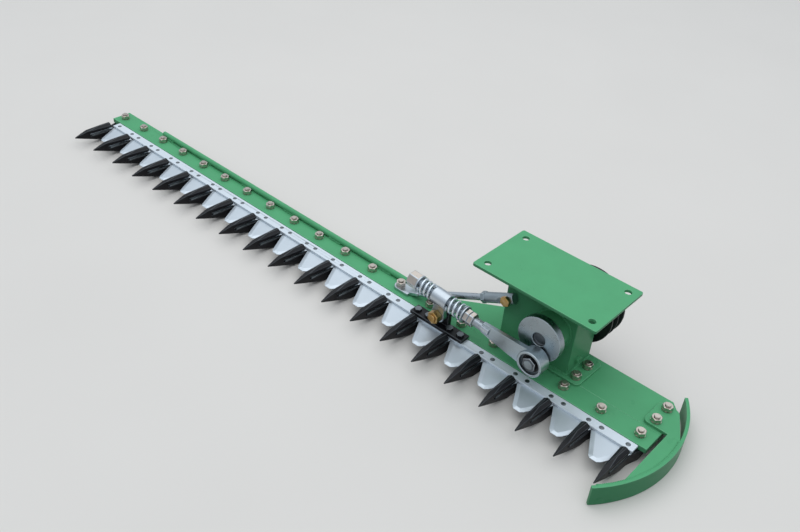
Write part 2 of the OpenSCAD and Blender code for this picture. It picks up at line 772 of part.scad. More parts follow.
module knife_sections() color(zinc) place() difference() {
    half = (pitch - section_gap) / 2;
    tip = section_tip_w / 2;
    cut = section_tip_w * tip_chamfer_share;
    for (i = [0 : section_count - 1])
        translate([section_x(i), 0, section_z]) linear_extrude(section_t) polygon([
            [-half, -back_rear], [-half, -section_root], [-tip, cut - section_reach],
            [cut - tip, -section_reach], [tip - cut, -section_reach], [tip, cut - section_reach],
            [half, -section_root], [half, -back_rear]]);
    knife_holes(section_z, section_top);
}

module knife_rivets() color(zinc) place() for (x = rivet_xs) if (!under_head(x))
    translate([x, rivet_y, section_z]) {
        cylinder(d = rivet_d, h = back_top - section_z);
        translate([0, 0, back_top - section_z])
            cylinder(d1 = rivet_d * rivet_head_share, d2 = rivet_d, h = rivet_head_h);
    }

module knife_head() color(blacking) place() difference() {
    union() {
        translate([pivot_x - head_len / 2, -head_front, back_top])
            cube([head_len, head_front - back_rear, head_t]);
        translate([pivot_x - head_len / 2, -head_front, bar_top + head_lift])
            cube([head_len, head_front - ear_back, back_top + head_t - bar_top - head_lift]);
        upright(-ear_front, ear_t) translate([pivot_x, 0]) union() {
            translate([-ear_w / 2, back_top + head_t]) square([ear_w, pivot_z - back_top - head_t]);
            translate([-ear_w / 2 + ear_corner, pivot_z])
                square([ear_w - 2 * ear_corner, pivot_d / 2 + ear_corner]);
            translate([-ear_w / 2, pivot_z]) square([ear_w, pivot_d / 2]);
            for (s = [-1, 1]) translate([s * (ear_w / 2 - ear_corner), pivot_z + pivot_d / 2])
                circle(r = ear_corner);
        }
    }
    for (x = head_bolts) translate([pivot_x + x, rivet_y, back_top - over])
        cylinder(d = head_bolt_d + 2 * bolt_gap, h = head_t + 2 * over);
    round_y(pivot_x, -ear_front - over, pivot_z, pivot_d + 2 * fit_gap, ear_t + 2 * over);
}

module knife_head_bolts() color(zinc) place() for (x = head_bolts)
    translate([pivot_x + x, rivet_y, section_z]) {
        cylinder(d = head_bolt_d, h = back_top + head_t - section_z);
        translate([0, 0, back_top + head_t - section_z]) hexagon(head_bolt_af, head_bolt_head);
    }

module pivot_bolt() color(yellow_zinc) place() {
    lug_front = rod_y - lug_t / 2;
    nut_front = lug_front - pivot_washer - pivot_nut_h;
    round_y(pivot_x, nut_front - pivot_washer, pivot_z, pivot_d, -ear_back - nut_front + pivot_washer);
    hexagon_y(pivot_x, -ear_back, pivot_z, pivot_af, pivot_d / 2);
    difference() {
        hexagon_y(pivot_x, nut_front, pivot_z, pivot_af, pivot_nut_h + pivot_washer - run_gap);
        round_y(pivot_x, nut_front - over, pivot_z, pivot_d + 2 * fit_gap,
                pivot_nut_h + pivot_washer + 2 * over);
    }
}

module spring_sleeve() color(steel) place() on_rod() difference() {
    union() {
        round_rod(sleeve_right, sleeve_left, sleeve_d);
        upright(-lug_t / 2, lug_t) {
            translate([-sleeve_at - lug_w / 2, -rod_offset]) square([lug_w, rod_offset]);
            translate([-sleeve_at, -rod_offset]) circle(d = lug_end_d);
        }
    }
    round_rod(sleeve_right - over, sleeve_left + over, rod_bore);
    round_y(-sleeve_at, -lug_t, -rod_offset, pivot_d + 2 * bush_wall, 2 * lug_t);
}

module pivot_bush() color(steel) place() on_rod() difference() {
    round_y(-sleeve_at, -lug_t / 2, -rod_offset, pivot_d + 2 * bush_wall, lug_t);
    round_y(-sleeve_at, -lug_t, -rod_offset, pivot_d + 2 * fit_gap, 2 * lug_t);
}

module connecting_rod() color(steel) place() on_rod() difference() {
    union() {
        round_y(0, -ring_w / 2, 0, ring_d, ring_w);
        upright(-flat_t / 2, flat_t) polygon([
            [0, -flat_h / 2], [0, flat_h / 2],
            [-flat_end, flat_end_h / 2], [-flat_end, -flat_end_h / 2]]);
    }
    round_y(0, -ring_w / 2 - over, 0, big_bearing_d + 2 * fit_gap, ring_w - ring_lip + over);
    round_y(0, -ring_w, 0, big_bearing_d * ring_lip_share, 2 * ring_w);
    round_rod(flat_end - rod_seat, flat_end + over, rod_d + 2 * fit_gap);
}

module tension_rod() color(zinc) place() on_rod() round_rod(flat_end - rod_seat, rod_len, rod_d);

// The nuts on the threaded rod: a pair for the right spring and a long one for the left spring
module rod_nuts() color(zinc) place() on_rod() {
    right_seat = sleeve_right - right_spring_len - spring_washer_t;
    left_seat = sleeve_left + left_spring_len + spring_washer_t;
    for (n = [[right_seat - rod_nut_h, rod_nut_h, rod_nut_af],
              [right_seat - 2 * rod_nut_h - run_gap, rod_nut_h, rod_nut_af],
              [left_seat, end_nut_h, end_nut_af]])
        difference() {
            translate([-n[0], 0, 0]) rotate([0, -90, 0]) hexagon(n[2], n[1]);
            round_rod(n[0] - over, n[0] + n[1] + over, rod_d + 2 * fit_gap);
        }
}

module spring_washers() color(zinc) place() on_rod()
    for (from = [sleeve_right - right_spring_len - spring_washer_t, sleeve_left + left_spring_len])
        difference() {
            round_rod(from, from + spring_washer_t, spring_washer_d);
            round_rod(from - over, from + spring_washer_t + over, rod_d + 2 * fit_gap);
        }

// A buffer spring from a seat on the rod, away from the pin
module spring(from, length) {
    path = helix(length);
    rings = len(path);
    corner = function(k, s) k * wire_sides + s % wire_sides;
    sides = [for (k = [0 : rings - 2], s = [0 : wire_sides - 1], half = [0, 1])
        half == 0 ? [corner(k, s), corner(k, s + 1), corner(k + 1, s + 1)]
                  : [corner(k, s), corner(k + 1, s + 1), corner(k + 1, s)]];
    ends = [for (s = [1 : wire_sides - 2], far = [0, 1])
        far == 0 ? [corner(0, 0), corner(0, s + 1), corner(0, s)]
                 : [corner(rings - 1, 0), corner(rings - 1, s), corner(rings - 1, s + 1)]];
    translate([-from, 0, 0]) rotate([0, -90, 0])
        polyhedron([for (k = [0 : rings - 1]) each wire_ring(path, k)], concat(sides, ends));
}

module right_spring() color(zinc) place() on_rod() spring(sleeve_right - right_spring_len, right_spring_len);

module left_spring() color(zinc) place() on_rod() spring(sleeve_left, left_spring_len);

module big_end_bearing() color(steel) place()
    translate([pin_x, rod_y + ring_w / 2 - ring_lip - big_bearing_w, pin_z]) rotate([-90, 0, 0])
        ball_bearing(pin_d + 2 * fit_gap, big_bearing_d, big_bearing_w, 8);

module crank_pin() color(steel) place() {
    bearing_back = rod_y + ring_w / 2 - ring_lip;
    bearing_face = bearing_back - big_bearing_w;
    round_y(pin_x, bearing_back, pin_z, pin_spacer_d, disc_front - run_gap - bearing_back);
    round_y(pin_x, bearing_face, pin_z, pin_d, big_bearing_w);
    round_y(pin_x, bearing_face - pin_washer_t - pin_nut_h - pin_tail, pin_z, rod_d,
            pin_washer_t + pin_nut_h + pin_tail);
}

module crank_pin_nut() color(zinc) place() {
    washer_back = rod_y + ring_w / 2 - ring_lip - big_bearing_w;
    difference() {
        union() {
            round_y(pin_x, washer_back - pin_washer_t, pin_z, pin_spacer_d, pin_washer_t);
            hexagon_y(pin_x, washer_back - pin_washer_t - pin_nut_h, pin_z, pin_nut_af, pin_nut_h);
        }
        round_y(pin_x, washer_back - pin_washer_t - pin_nut_h - over, pin_z, rod_d + 2 * fit_gap,
                pin_washer_t + pin_nut_h + 2 * over);
    }
}

cutter_bar();
rear_stiffener();
base_plate();
shoe_plate();
shoe_runner();
ledger_plates();
frame_bolts();
frame_nuts();
frame_washers();
drive_housing();
housing_foot();
mounting_plate();
bearing_tube();
shaft_bearings();
stay_rod();
stay_socket();
stay_lock_nut();
stay_bolt();
crank_shaft();
crank_disc();
shaft_keys();
drive_pulley();
pulley_bolt();
knife_back();
knife_sections();
knife_rivets();
knife_head();
knife_head_bolts();
pivot_bolt();
spring_sleeve();
pivot_bush();
connecting_rod();
tension_rod();
rod_nuts();
spring_washers();
left_spring();
right_spring();
big_end_bearing();
crank_pin();
crank_pin_nut();
for (i = [0 : finger_count - 1]) finger(i);
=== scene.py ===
"""Looks of the sickle bar mower.

Finishes, rounded edges, welds, threads, springs and fasteners around the CAD part.
"""

import contextlib
import math

import bmesh
import bpy
from mathutils import Matrix, Vector


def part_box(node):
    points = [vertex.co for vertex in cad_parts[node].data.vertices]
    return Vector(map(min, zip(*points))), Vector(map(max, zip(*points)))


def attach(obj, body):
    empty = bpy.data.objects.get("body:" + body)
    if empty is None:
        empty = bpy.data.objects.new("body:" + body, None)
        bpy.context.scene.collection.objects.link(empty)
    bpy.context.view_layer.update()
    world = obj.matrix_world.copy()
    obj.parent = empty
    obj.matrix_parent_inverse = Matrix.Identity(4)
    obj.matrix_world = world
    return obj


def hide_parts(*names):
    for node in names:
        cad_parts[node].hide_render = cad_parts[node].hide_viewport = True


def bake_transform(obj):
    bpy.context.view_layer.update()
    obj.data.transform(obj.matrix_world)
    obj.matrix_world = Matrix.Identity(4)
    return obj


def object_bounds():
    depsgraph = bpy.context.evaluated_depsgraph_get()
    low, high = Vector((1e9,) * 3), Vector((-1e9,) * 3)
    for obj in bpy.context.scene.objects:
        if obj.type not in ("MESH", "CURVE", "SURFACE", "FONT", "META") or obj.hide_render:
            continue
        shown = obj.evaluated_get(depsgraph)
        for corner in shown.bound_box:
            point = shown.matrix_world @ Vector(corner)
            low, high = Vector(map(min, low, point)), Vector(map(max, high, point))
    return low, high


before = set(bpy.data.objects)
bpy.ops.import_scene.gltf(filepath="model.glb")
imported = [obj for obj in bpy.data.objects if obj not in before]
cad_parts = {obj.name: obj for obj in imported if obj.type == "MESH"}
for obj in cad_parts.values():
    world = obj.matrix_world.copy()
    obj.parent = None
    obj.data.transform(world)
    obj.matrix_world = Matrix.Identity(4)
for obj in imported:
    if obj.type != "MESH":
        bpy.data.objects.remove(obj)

bl_info = {
    "name": "Sickle Bar Mower",
    "version": (1, 0, 0),
    "blender": (4, 5, 0),
    "location": "View3D > Sidebar > Mower",
    "description": "Dresses a sickle bar mower with its paint, welds, threads, springs "
                   "and fasteners",
    "category": "Object",
}

CAD_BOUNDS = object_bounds()

# Places in the part frame that the CAD part shares. All lengths are in metres.
CRANK_AXIS = Vector((0.024, -0.058, -0.086))
CRANK_PIN = Vector((0.030251, -0.081, -0.121453))
ROD_TILT = math.radians(4.569237)
ON_ROD = Matrix.Translation(CRANK_PIN) @ Matrix.Rotation(ROD_TILT, 4, "Y")
RUNNER_MID = Vector((0.070, -0.056, -0.165))
RUNNER_INNER = 0.222

# Distances along the rod from the crank pin, and lengths of its springs.
FLAT_END = 0.110
SLEEVE_AT = 0.205055
SLEEVE_HALF = 0.017
ROD_END = 0.284
LEFT_SPRING = 0.034
RIGHT_SPRING = 0.036

# Cleaning of the CAD meshes: corners this near are one, faces this flat are joined.
SAME_POINT = 2e-5
SAME_PLANE = math.radians(0.5)

# Weld beads: lines of the frame's welds, and the finer beads on the rod.
RING_STEPS = 60
RUNNER_WELD_FROM = -39
RUNNER_WELD_STEP = 1.5
RUNNER_WELD_POINTS = 33
STITCH = 0.03
STITCH_PITCH = 0.14
STITCH_START = 0.01
STITCH_IN = 0.0015
STITCH_UP = 0.001
FRAME_STEP_SHARE = 0.5
ROD_STEP_SHARE = 0.4
ROD_BEAD_SHARE = 0.7
ROD_WELD = (0.001, 0.016)
ROD_WELD_Y = 0.004
ROD_WELD_Z = 0.0072
LUG_WELD_HALF = 0.013
LUG_WELD_Y = 0.006
LUG_WELD_Z = -0.0145
LUG_TOP = -0.0152

# Weld scales: their least and greatest half axes, as shares of the bead.
SCALE_LEAST = (0.4, 0.4, 0.38)
SCALE_MOST = (0.5, 0.5, 0.46)

# Guard fingers.
FINGER_EDGE = 0.0006
FINGER_ANGLE = 20

# Knife sections: outline from the back edge, and how far the ground edges reach inwards.
SECTION_ROOT = -0.0198
SECTION_TIP = 0.012
SECTION_CUT = 0.0053
SECTION_EDGE_SHARE = 0.25
GROUND_ROOT = 0.008
GROUND_SIDE = (0.006, 0.004)
GROUND_TIP = (0.003, 0.006)
HEAD_BOLT_FACE = 0.0002

# Turned pieces: steps round the axis.
TURN_STEPS = 48

# Nuts: their turned corners and their countersunk bore.
NUT_FACE_SHARE = 0.97
NUT_CORNER_SLOPE = 0.577
NUT_SINK_SHARE = 1.12
NUT_SINK_DEPTH_SHARE = 0.12
NUT_SHARP = 18
NUT_ACROSS = 0.017
NUT_BORE = 0.00495

# Small bolt in the housing's side, and its place on the wall.
SIDE_BOLT_ACROSS = 0.013
SIDE_BOLT_H = 0.0055
SIDE_BOLT_DIMPLE = 0.0012
SIDE_BOLT_YZ = (0.0067, -0.1456)

# Spring washers.
WASHER_STEPS = 40
WASHER_GAP = math.radians(9)
WASHER_LIFT_SHARE = 0.12
WASHER_INNER = 0.0053
WASHER_OUTER = 0.0093

# Threads of the frame bolts and of the tension rod.
THREAD_SIDES = 6
THREAD_STEPS = 16
BOLT_RADIUS = 0.005
BOLT_TAIL = 0.0028
BOLT_THREAD_LEN = 0.0025
BOLT_THREAD_WIRE = 0.0005
ROD_RADIUS = 0.008
ROD_THREAD_WIRE = 0.0007
ROD_THREAD_END = 0.001

# Springs.
SPRING_SIDES = 14
SPRING_STEPS = 32
SPRING_SEAT = 0.0003
SPRING_FLAT_TURNS = 0.35

# Recess of the crank disc, painted dark as painted shade; seal of the big-end bearing as (radius,
# height) points.
DISC_FACE = 0.0004
RECESS = 0.0165
SEAL_SHARP = 30
SEAL_SECTION = (
    (0.0112, 0.0), (0.0172, 0.0), (0.0172, -0.0006), (0.0142, -0.0011), (0.0112, -0.0006))

# Floor, lights as (name, place, size, watts), and camera.
FLOOR_HALF = 9
FLOOR_DROP = 0.0005
LIGHT_AIM = Vector((-0.15, -0.05, -0.15))
LIGHTS = (("key", (-0.6, 0.2, 2.9), 4.6, 50.0), ("fill", (2.2, -1.8, 1.8), 2.4, 2.0))
SENSOR_WIDTH = 36
CLIP_END = 50

# Sockets of a Mix node that mixes colours.
MIX_A, MIX_B, MIX_RESULT = 6, 7, 2

# Distance between the rings of a wave texture at scale 1.
WAVE_SPACING = 0.314


def linear(code):
    """Turns an sRGB hex colour into linear red, green and blue."""
    values = [int(code[k:k + 2], 16) / 255 for k in (1, 3, 5)]
    return tuple(v / 12.92 if v <= 0.04045 else ((v + 0.055) / 1.055) ** 2.4 for v in values)


def shade(colour, share):
    """A colour made darker or paler, with its alpha."""
    return tuple(min(1.0, c * share) for c in colour[:3]) + (1.0,)


class MowerFinish(bpy.types.PropertyGroup):
    """Colours of the mower's finishes."""

    enamel: bpy.props.FloatVectorProperty(
        name="Green Enamel", description="Colour of the welded frame", subtype="COLOR",
        min=0, max=1, default=linear("#58A575"))
    lacquer: bpy.props.FloatVectorProperty(
        name="Black Lacquer", description="Colour of the guard fingers and the knife head",
        subtype="COLOR", min=0, max=1, default=linear("#121216"))
    zinc: bpy.props.FloatVectorProperty(
        name="Bright Zinc", description="Colour of the knife and the plated fasteners",
        subtype="COLOR", min=0, max=1, default=linear("#BCC4CA"))
    warm_zinc: bpy.props.FloatVectorProperty(
        name="Warm Zinc", description="Colour of the nuts", subtype="COLOR",
        min=0, max=1, default=linear("#CCC2B8"))
    yellow_zinc: bpy.props.FloatVectorProperty(
        name="Yellow Zinc", description="Colour of the passivated bolts", subtype="COLOR",
        min=0, max=1, default=linear("#B9985F"))
    steel: bpy.props.FloatVectorProperty(
        name="Bare Steel", description="Colour of the drawn and turned steel", subtype="COLOR",
        min=0, max=1, default=linear("#B4C0C6"))


class MowerSize(bpy.types.PropertyGroup):
    """Sizes of the drawn details."""

    edge: bpy.props.FloatProperty(
        name="Edge", description="Rounding of the plates' edges", unit="LENGTH", default=0.0008)
    bead: bpy.props.FloatProperty(
        name="Weld Bead", description="Width of the weld beads", unit="LENGTH", default=0.006)
    wire: bpy.props.FloatProperty(
        name="Spring Wire", description="Diameter of the springs' wire", unit="LENGTH",
        default=0.005)
    coil: bpy.props.FloatProperty(
        name="Spring Coil", description="Mean diameter of the springs", unit="LENGTH",
        default=0.027)
    turns: bpy.props.FloatProperty(
        name="Spring Turns", description="Turns of each spring with its closed ends", default=3.8)
    thread: bpy.props.FloatProperty(
        name="Thread Pitch", description="Pitch of the tension rod's thread", unit="LENGTH",
        default=0.002)
    bolt_thread: bpy.props.FloatProperty(
        name="Bolt Thread Pitch", description="Pitch of the frame bolts' thread",
        unit="LENGTH", default=0.0015)


class MowerStage(bpy.types.PropertyGroup):
    """Camera, floor and light."""

    place: bpy.props.FloatVectorProperty(
        name="Camera Place", description="Where the camera stands", subtype="TRANSLATION",
        unit="LENGTH", default=(0.5840, -1.1386, 0.9104))
    azimuth: bpy.props.FloatProperty(
        name="Azimuth", description="Turn of the view from +Y", subtype="ANGLE",
        default=math.radians(-39.224))
    drop: bpy.props.FloatProperty(
        name="Drop", description="Downward tilt of the view", subtype="ANGLE",
        default=math.radians(36.219))
    roll: bpy.props.FloatProperty(
        name="Roll", description="Roll of the camera", subtype="ANGLE",
        default=math.radians(5.152))
    lens: bpy.props.FloatProperty(
        name="Lens", description="Focal length for a 36 mm wide sensor",
        subtype="DISTANCE_CAMERA", default=41.043)
    floor: bpy.props.FloatVectorProperty(
        name="Floor", description="Colour of the floor", subtype="COLOR",
        min=0, max=1, default=linear("#DDD9D3"))


def add(tree, kind, settings=None, links=None):
    """Adds a node, fills its properties and sockets, and joins its inputs to other outputs."""
    node = tree.nodes.new(kind)
    for key, value in (settings or {}).items():
        if isinstance(key, str) and hasattr(node, key):
            setattr(node, key, value)
        else:
            node.inputs[key].default_value = value
    for key, source in (links or {}).items():
        tree.links.new(source, node.inputs[key])
    return node


def begin_finish(name, settings):
    """A new material with its shader, and its object coordinates."""
    material = bpy.data.materials.new(name)
    material.use_nodes = True
    tree = material.node_tree
    shader = tree.nodes["Principled BSDF"]
    for key, value in settings.items():
        shader.inputs[key].default_value = value
    place = add(tree, "ShaderNodeTexCoord").outputs["Object"]
    return material, tree, shader, place


def mottle(tree, place, shader, dark, pale, size, detail=3.0):
    """Lets the base colour drift between two tones in patches, and returns their pattern."""
    patches = add(tree, "ShaderNodeTexNoise", {"Scale": 1 / size, "Detail": detail},
                  {"Vector": place})
    tones = add(tree, "ShaderNodeMix", {"data_type": "RGBA", MIX_A: dark, MIX_B: pale},
                {0: patches.outputs[0]})
    tree.links.new(tones.outputs[MIX_RESULT], shader.inputs["Base Color"])
    return patches.outputs[0]


def vary_gloss(tree, shader, pattern, low, high):
    """Lets the roughness follow a pattern, most of which lies between 0.3 and 0.7."""
    spread = add(tree, "ShaderNodeMapRange",
                 {"From Min": 0.3, "From Max": 0.7, "To Min": low, "To Max": high},
                 {"Value": pattern})
    tree.links.new(spread.outputs[0], shader.inputs["Roughness"])


def relief(tree, shader, pattern, height, strength):
    """Raises the surface by a pattern."""
    bump = add(tree, "ShaderNodeBump", {"Strength": strength, "Distance": height},
               {"Height": pattern})
    tree.links.new(bump.outputs[0], shader.inputs["Normal"])


def green_enamel(finish):
    """Sprayed alkyd enamel over plate: a smooth film with orange peel and a drift of tone."""
    material, tree, shader, place = begin_finish("green_enamel", {
        "Metallic": 0.0, "Roughness": 0.3, "IOR": 1.5, "Specular IOR Level": 0.08})
    patches = mottle(tree, place, shader, shade(finish.enamel, 0.92), shade(finish.enamel, 1.1),
                     size=0.045)
    vary_gloss(tree, shader, patches, low=0.26, high=0.4)
    # Orange peel is about 1 mm across; 3 mm shows in the render.
    peel = add(tree, "ShaderNodeTexNoise", {"Scale": 1 / 0.003, "Detail": 1.0}, {"Vector": place})
    relief(tree, shader, peel.outputs[0], height=0.0003, strength=0.12)
    return material


def thin_enamel(finish):
    """Enamel that runs thin over a rounded edge, so it is paler and glossier."""
    material, tree, shader, place = begin_finish("thin_enamel", {
        "Metallic": 0.0, "Roughness": 0.28, "Coat Weight": 0.1})
    mottle(tree, place, shader, shade(finish.enamel, 1.0), shade(finish.enamel, 1.25), size=0.02)
    return material


def black_lacquer(finish):
    """Dipped black lacquer on forged steel: satin, with the forging's shallow pits."""
    material, tree, shader, place = begin_finish("black_lacquer", {
        "Metallic": 0.0, "Roughness": 0.36, "IOR": 1.5, "Specular IOR Level": 0.28})
    patches = mottle(tree, place, shader, shade(finish.lacquer, 0.7), shade(finish.lacquer, 1.5),
                     size=0.03)
    vary_gloss(tree, shader, patches, low=0.36, high=0.5)
    pits = add(tree, "ShaderNodeTexNoise", {"Scale": 1 / 0.004, "Detail": 3.0}, {"Vector": place})
    relief(tree, shader, pits.outputs[0], height=0.0006, strength=0.25)
    return material


def worn_lacquer(finish):
    """Lacquer rubbed thin on an edge: grey steel shows through in streaks."""
    material, tree, shader, place = begin_finish("worn_lacquer", {
        "Metallic": 0.35, "Roughness": 0.34})
    mottle(tree, place, shader, shade(finish.lacquer, 2.0), shade(finish.steel, 0.22),
           size=0.009, detail=5.0)
    return material


def plated(name, colour, size, low, high, drift, metal=1.0):
    """Zinc plate on steel, or bare steel: a metal with clouds of duller crystals."""
    material, tree, shader, place = begin_finish(name, {"Metallic": metal, "Roughness": 0.28})
    clouds = mottle(tree, place, shader, shade(colour, drift), shade(colour, 1.04), size)
    vary_gloss(tree, shader, clouds, low, high)
    scratches = add(tree, "ShaderNodeTexNoise", {"Scale": 1 / 0.0025, "Detail": 4.0},
                    {"Vector": place})
    relief(tree, shader, scratches.outputs[0], height=0.0001, strength=0.15)
    return material


def yellow_passivate(finish):
    """Yellow chromate on zinc: gold that drifts from brown to pale."""
    material, tree, shader, place = begin_finish("yellow_passivate", {
        "Metallic": 1.0, "Roughness": 0.3})
    patches = add(tree, "ShaderNodeTexNoise", {"Scale": 1 / 0.012, "Detail": 2.0},
                  {"Vector": place})
    tones = add(tree, "ShaderNodeValToRGB", None, {"Fac": patches.outputs[0]})
    dark, pale = tones.color_ramp.elements
    dark.position, dark.color = 0.3, linear("#A67F47") + (1.0,)
    pale.position, pale.color = 0.7, linear("#CDAF80") + (1.0,)
    tones.color_ramp.elements.new(0.5).color = shade(finish.yellow_zinc, 1.05)
    tree.links.new(tones.outputs[0], shader.inputs["Base Color"])
    vary_gloss(tree, shader, patches.outputs[0], low=0.24, high=0.4)
    return material


def drawn_steel(finish):
    """Cold-drawn flat steel: fine lines along the rod, grey with a cool cast."""
    material, tree, shader, place = begin_finish("drawn_steel", {
        "Metallic": 1.0, "Roughness": 0.34})
    turned = add(tree, "ShaderNodeMapping",
                 {"Rotation": (0.0, -ROD_TILT, 0.0), "Scale": (0.06, 1.0, 1.0)}, {"Vector": place})
    # Drawing lines are a tenth of a millimetre apart; 1.2 mm shows in the render.
    lines = mottle(tree, turned.outputs[0], shader, shade(finish.steel, 0.78),
                   shade(finish.steel, 1.12), size=0.0012, detail=5.0)
    vary_gloss(tree, shader, lines, low=0.26, high=0.44)
    relief(tree, shader, lines, height=0.0002, strength=0.12)
    return material


def turned_steel(name, finish, axis_at, tone):
    """Steel faced on a lathe: fine rings round the axis that draw the light into a bow tie."""
    material, tree, shader, place = begin_finish(name, {
        "Metallic": 1.0, "Roughness": 0.3, "Anisotropic": 0.75})
    tangent = add(tree, "ShaderNodeTangent", {"direction_type": "RADIAL", "axis": "Y"})
    tree.links.new(tangent.outputs[0], shader.inputs["Tangent"])
    centred = add(tree, "ShaderNodeMapping", {"Location": tuple(-v for v in axis_at)},
                  {"Vector": place})
    # Lathe feed is about 0.2 mm; rings 1.6 mm apart show in the render.
    rings = add(tree, "ShaderNodeTexWave",
                {"wave_type": "RINGS", "rings_direction": "Y", "Scale": WAVE_SPACING / 0.0016,
                 "Distortion": 0.4}, {"Vector": centred.outputs[0]})
    patches = mottle(tree, place, shader, shade(finish.steel, 0.8 * tone),
                     shade(finish.steel, 1.1 * tone), size=0.012)
    vary_gloss(tree, shader, patches, low=0.24, high=0.36)
    relief(tree, shader, rings.outputs[0], height=0.0001, strength=0.04)
    return material


def seal_rubber(finish):
    """Nitrile rubber of a bearing seal: dull black with a faint bloom."""
    material, tree, shader, place = begin_finish("seal_rubber", {
        "Metallic": 0.0, "Roughness": 0.6})
    mottle(tree, place, shader, shade(finish.lacquer, 0.7), shade(finish.lacquer, 1.6), size=0.004)
    return material


def cast_iron(finish):
    """Sand-cast iron under thin black paint: a coarse grain."""
    material, tree, shader, place = begin_finish("cast_iron", {
        "Metallic": 0.3, "Roughness": 0.48})
    grain = mottle(tree, place, shader, shade(finish.lacquer, 0.7), shade(finish.lacquer, 1.9),
                   size=0.006, detail=4.0)
    relief(tree, shader, grain, height=0.0006, strength=0.3)
    return material


FINISHES = {}


def make_finishes(context):
    """Makes each finish once."""
    if FINISHES:
        return FINISHES
    finish = context.scene.mower_finish
    FINISHES.update(
        enamel=green_enamel(finish),
        edge=thin_enamel(finish),
        lacquer=black_lacquer(finish),
        worn=worn_lacquer(finish),
        zinc=plated("bright_zinc", finish.zinc, size=0.03, low=0.26, high=0.38, drift=0.92),
        knife=plated("rolled_zinc", shade(finish.zinc, 1.25),
                     size=0.05, low=0.42, high=0.56, drift=0.9, metal=0.8),
        back=plated("galvanised", shade(finish.zinc, 1.4),
                    size=0.05, low=0.45, high=0.6, drift=0.92, metal=0.35),
        warm=plated("warm_zinc", finish.warm_zinc, size=0.009, low=0.24, high=0.4, drift=0.75),
        wire=plated("zinc_wire", shade(finish.zinc, 1.4),
                    size=0.01, low=0.2, high=0.32, drift=0.9),
        # Dull zinc for the dull nuts and bolt tops; also painted shade on the disc's recess, the
        # shaft end, the big-end bearing and the knife rivets.
        rivet=plated("painted_shade_and_dull_zinc", shade(finish.zinc, 0.4),
                     size=0.006, low=0.35, high=0.5, drift=0.6),
        grey=plated("grey_steel", shade(finish.steel, 0.78),
                    size=0.02, low=0.32, high=0.46, drift=0.8),
        yellow=yellow_passivate(finish),
        drawn=drawn_steel(finish),
        disc=turned_steel("turned_disc", finish, CRANK_AXIS, tone=0.78),
        ring=turned_steel("turned_ring", finish, CRANK_PIN, tone=1.1),
        steel=plated("bare_steel", finish.steel, size=0.016, low=0.3, high=0.46, drift=0.8),
        seal=seal_rubber(finish),
        iron=cast_iron(finish))
    return FINISHES


def piece_from(name, mesh):
    """A new object at the origin with its place in its mesh."""
    piece = bpy.data.objects.new(name, mesh)
    bpy.context.scene.collection.objects.link(piece)
    return piece


def settle(piece, body, slot, *nodes):
    """Puts a piece on its body and hides the CAD nodes it stands for; the slot is not used."""
    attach(piece, body)
    if nodes:
        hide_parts(*nodes)
    return piece


def evaluated(holder):
    """The plain mesh of an object with its modifiers; the object is then removed."""
    bpy.context.view_layer.update()
    graph = bpy.context.evaluated_depsgraph_get()
    mesh = bpy.data.meshes.new_from_object(holder.evaluated_get(graph), depsgraph=graph)
    bpy.data.objects.remove(holder)
    return mesh


@contextlib.contextmanager
def editing(mesh):
    """Opens a mesh for editing and writes it back."""
    shape = bmesh.new()
    shape.from_mesh(mesh)
    yield shape
    shape.to_mesh(mesh)
    shape.free()


def merged(node):
    """A copy of a CAD node's mesh with its triangles joined into faces."""
    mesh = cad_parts[node].data.copy()
    with editing(mesh) as shape:
        bmesh.ops.remove_doubles(shape, verts=shape.verts, dist=SAME_POINT)
        bmesh.ops.dissolve_limit(
            shape, angle_limit=SAME_PLANE, verts=shape.verts, edges=shape.edges)
        for face in shape.faces:
            face.smooth = True
    mesh.materials.clear()
    return mesh


def crisp(mesh):
    """Marks the borders of the rounded edges sharp, so that flat faces look flat."""
    with editing(mesh) as shape:
        for edge in shape.edges:
            edge.smooth = len({face.material_index for face in edge.link_faces}) == 1
    return mesh


def rounded(name, mesh, finish, edge_finish, width, segments=2, angle=32):
    """Rounds a mesh's edges, which take a finish of their own."""
    holder = piece_from(name, mesh)
    mesh.materials.append(finish)
    mesh.materials.append(edge_finish)
    bevel = holder.modifiers.new("edges", "BEVEL")
    bevel.width = width
    bevel.segments = segments
    bevel.limit_method = "ANGLE"
    bevel.angle_limit = math.radians(angle)
    bevel.use_clamp_overlap = False
    bevel.material = 1
    return piece_from(name, crisp(evaluated(holder)))


def dress(node, body, slot, finish, edge_finish, width, segments=2):
    """A CAD node with its edges rounded, which stands for the node."""
    piece = rounded(node + "_dressed", merged(node), finish, edge_finish, width, segments)
    return settle(piece, body, slot, node)


def recolour(piece, finish, test):
    """Gives the faces whose middle passes a test a finish of their own."""
    piece.data.materials.append(finish)
    for face in piece.data.polygons:
        if test(face.center):
            face.material_index = len(piece.data.materials) - 1


def paint(finish, *nodes):
    """Gives CAD nodes that stay a finish."""
    for node in nodes:
        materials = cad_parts[node].data.materials
        materials.clear()
        materials.append(finish)


def islands(node):
    """Lowest and highest corner of each separate solid of a CAD node."""
    shape = bmesh.new()
    shape.from_mesh(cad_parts[node].data)
    bmesh.ops.remove_doubles(shape, verts=shape.verts, dist=SAME_POINT)
    left = set(shape.verts)
    boxes = []
    while left:
        queue = [left.pop()]
        low, high = queue[0].co.copy(), queue[0].co.copy()
        while queue:
            vert = queue.pop()
            low = Vector(map(min, low, vert.co))
            high = Vector(map(max, high, vert.co))
            for edge in vert.link_edges:
                other = edge.other_vert(vert)
                if other in left:
                    left.remove(other)
                    queue.append(other)
        boxes.append((low, high))
    shape.free()
    return sorted(boxes, key=lambda box: tuple(box[0]))


def middle(box):
    """Middle of a box."""
    return (box[0] + box[1]) / 2


def seats(boxes):
    """Middle of each box's underside."""
    return [(middle(box).x, middle(box).y, box[0].z) for box in boxes]


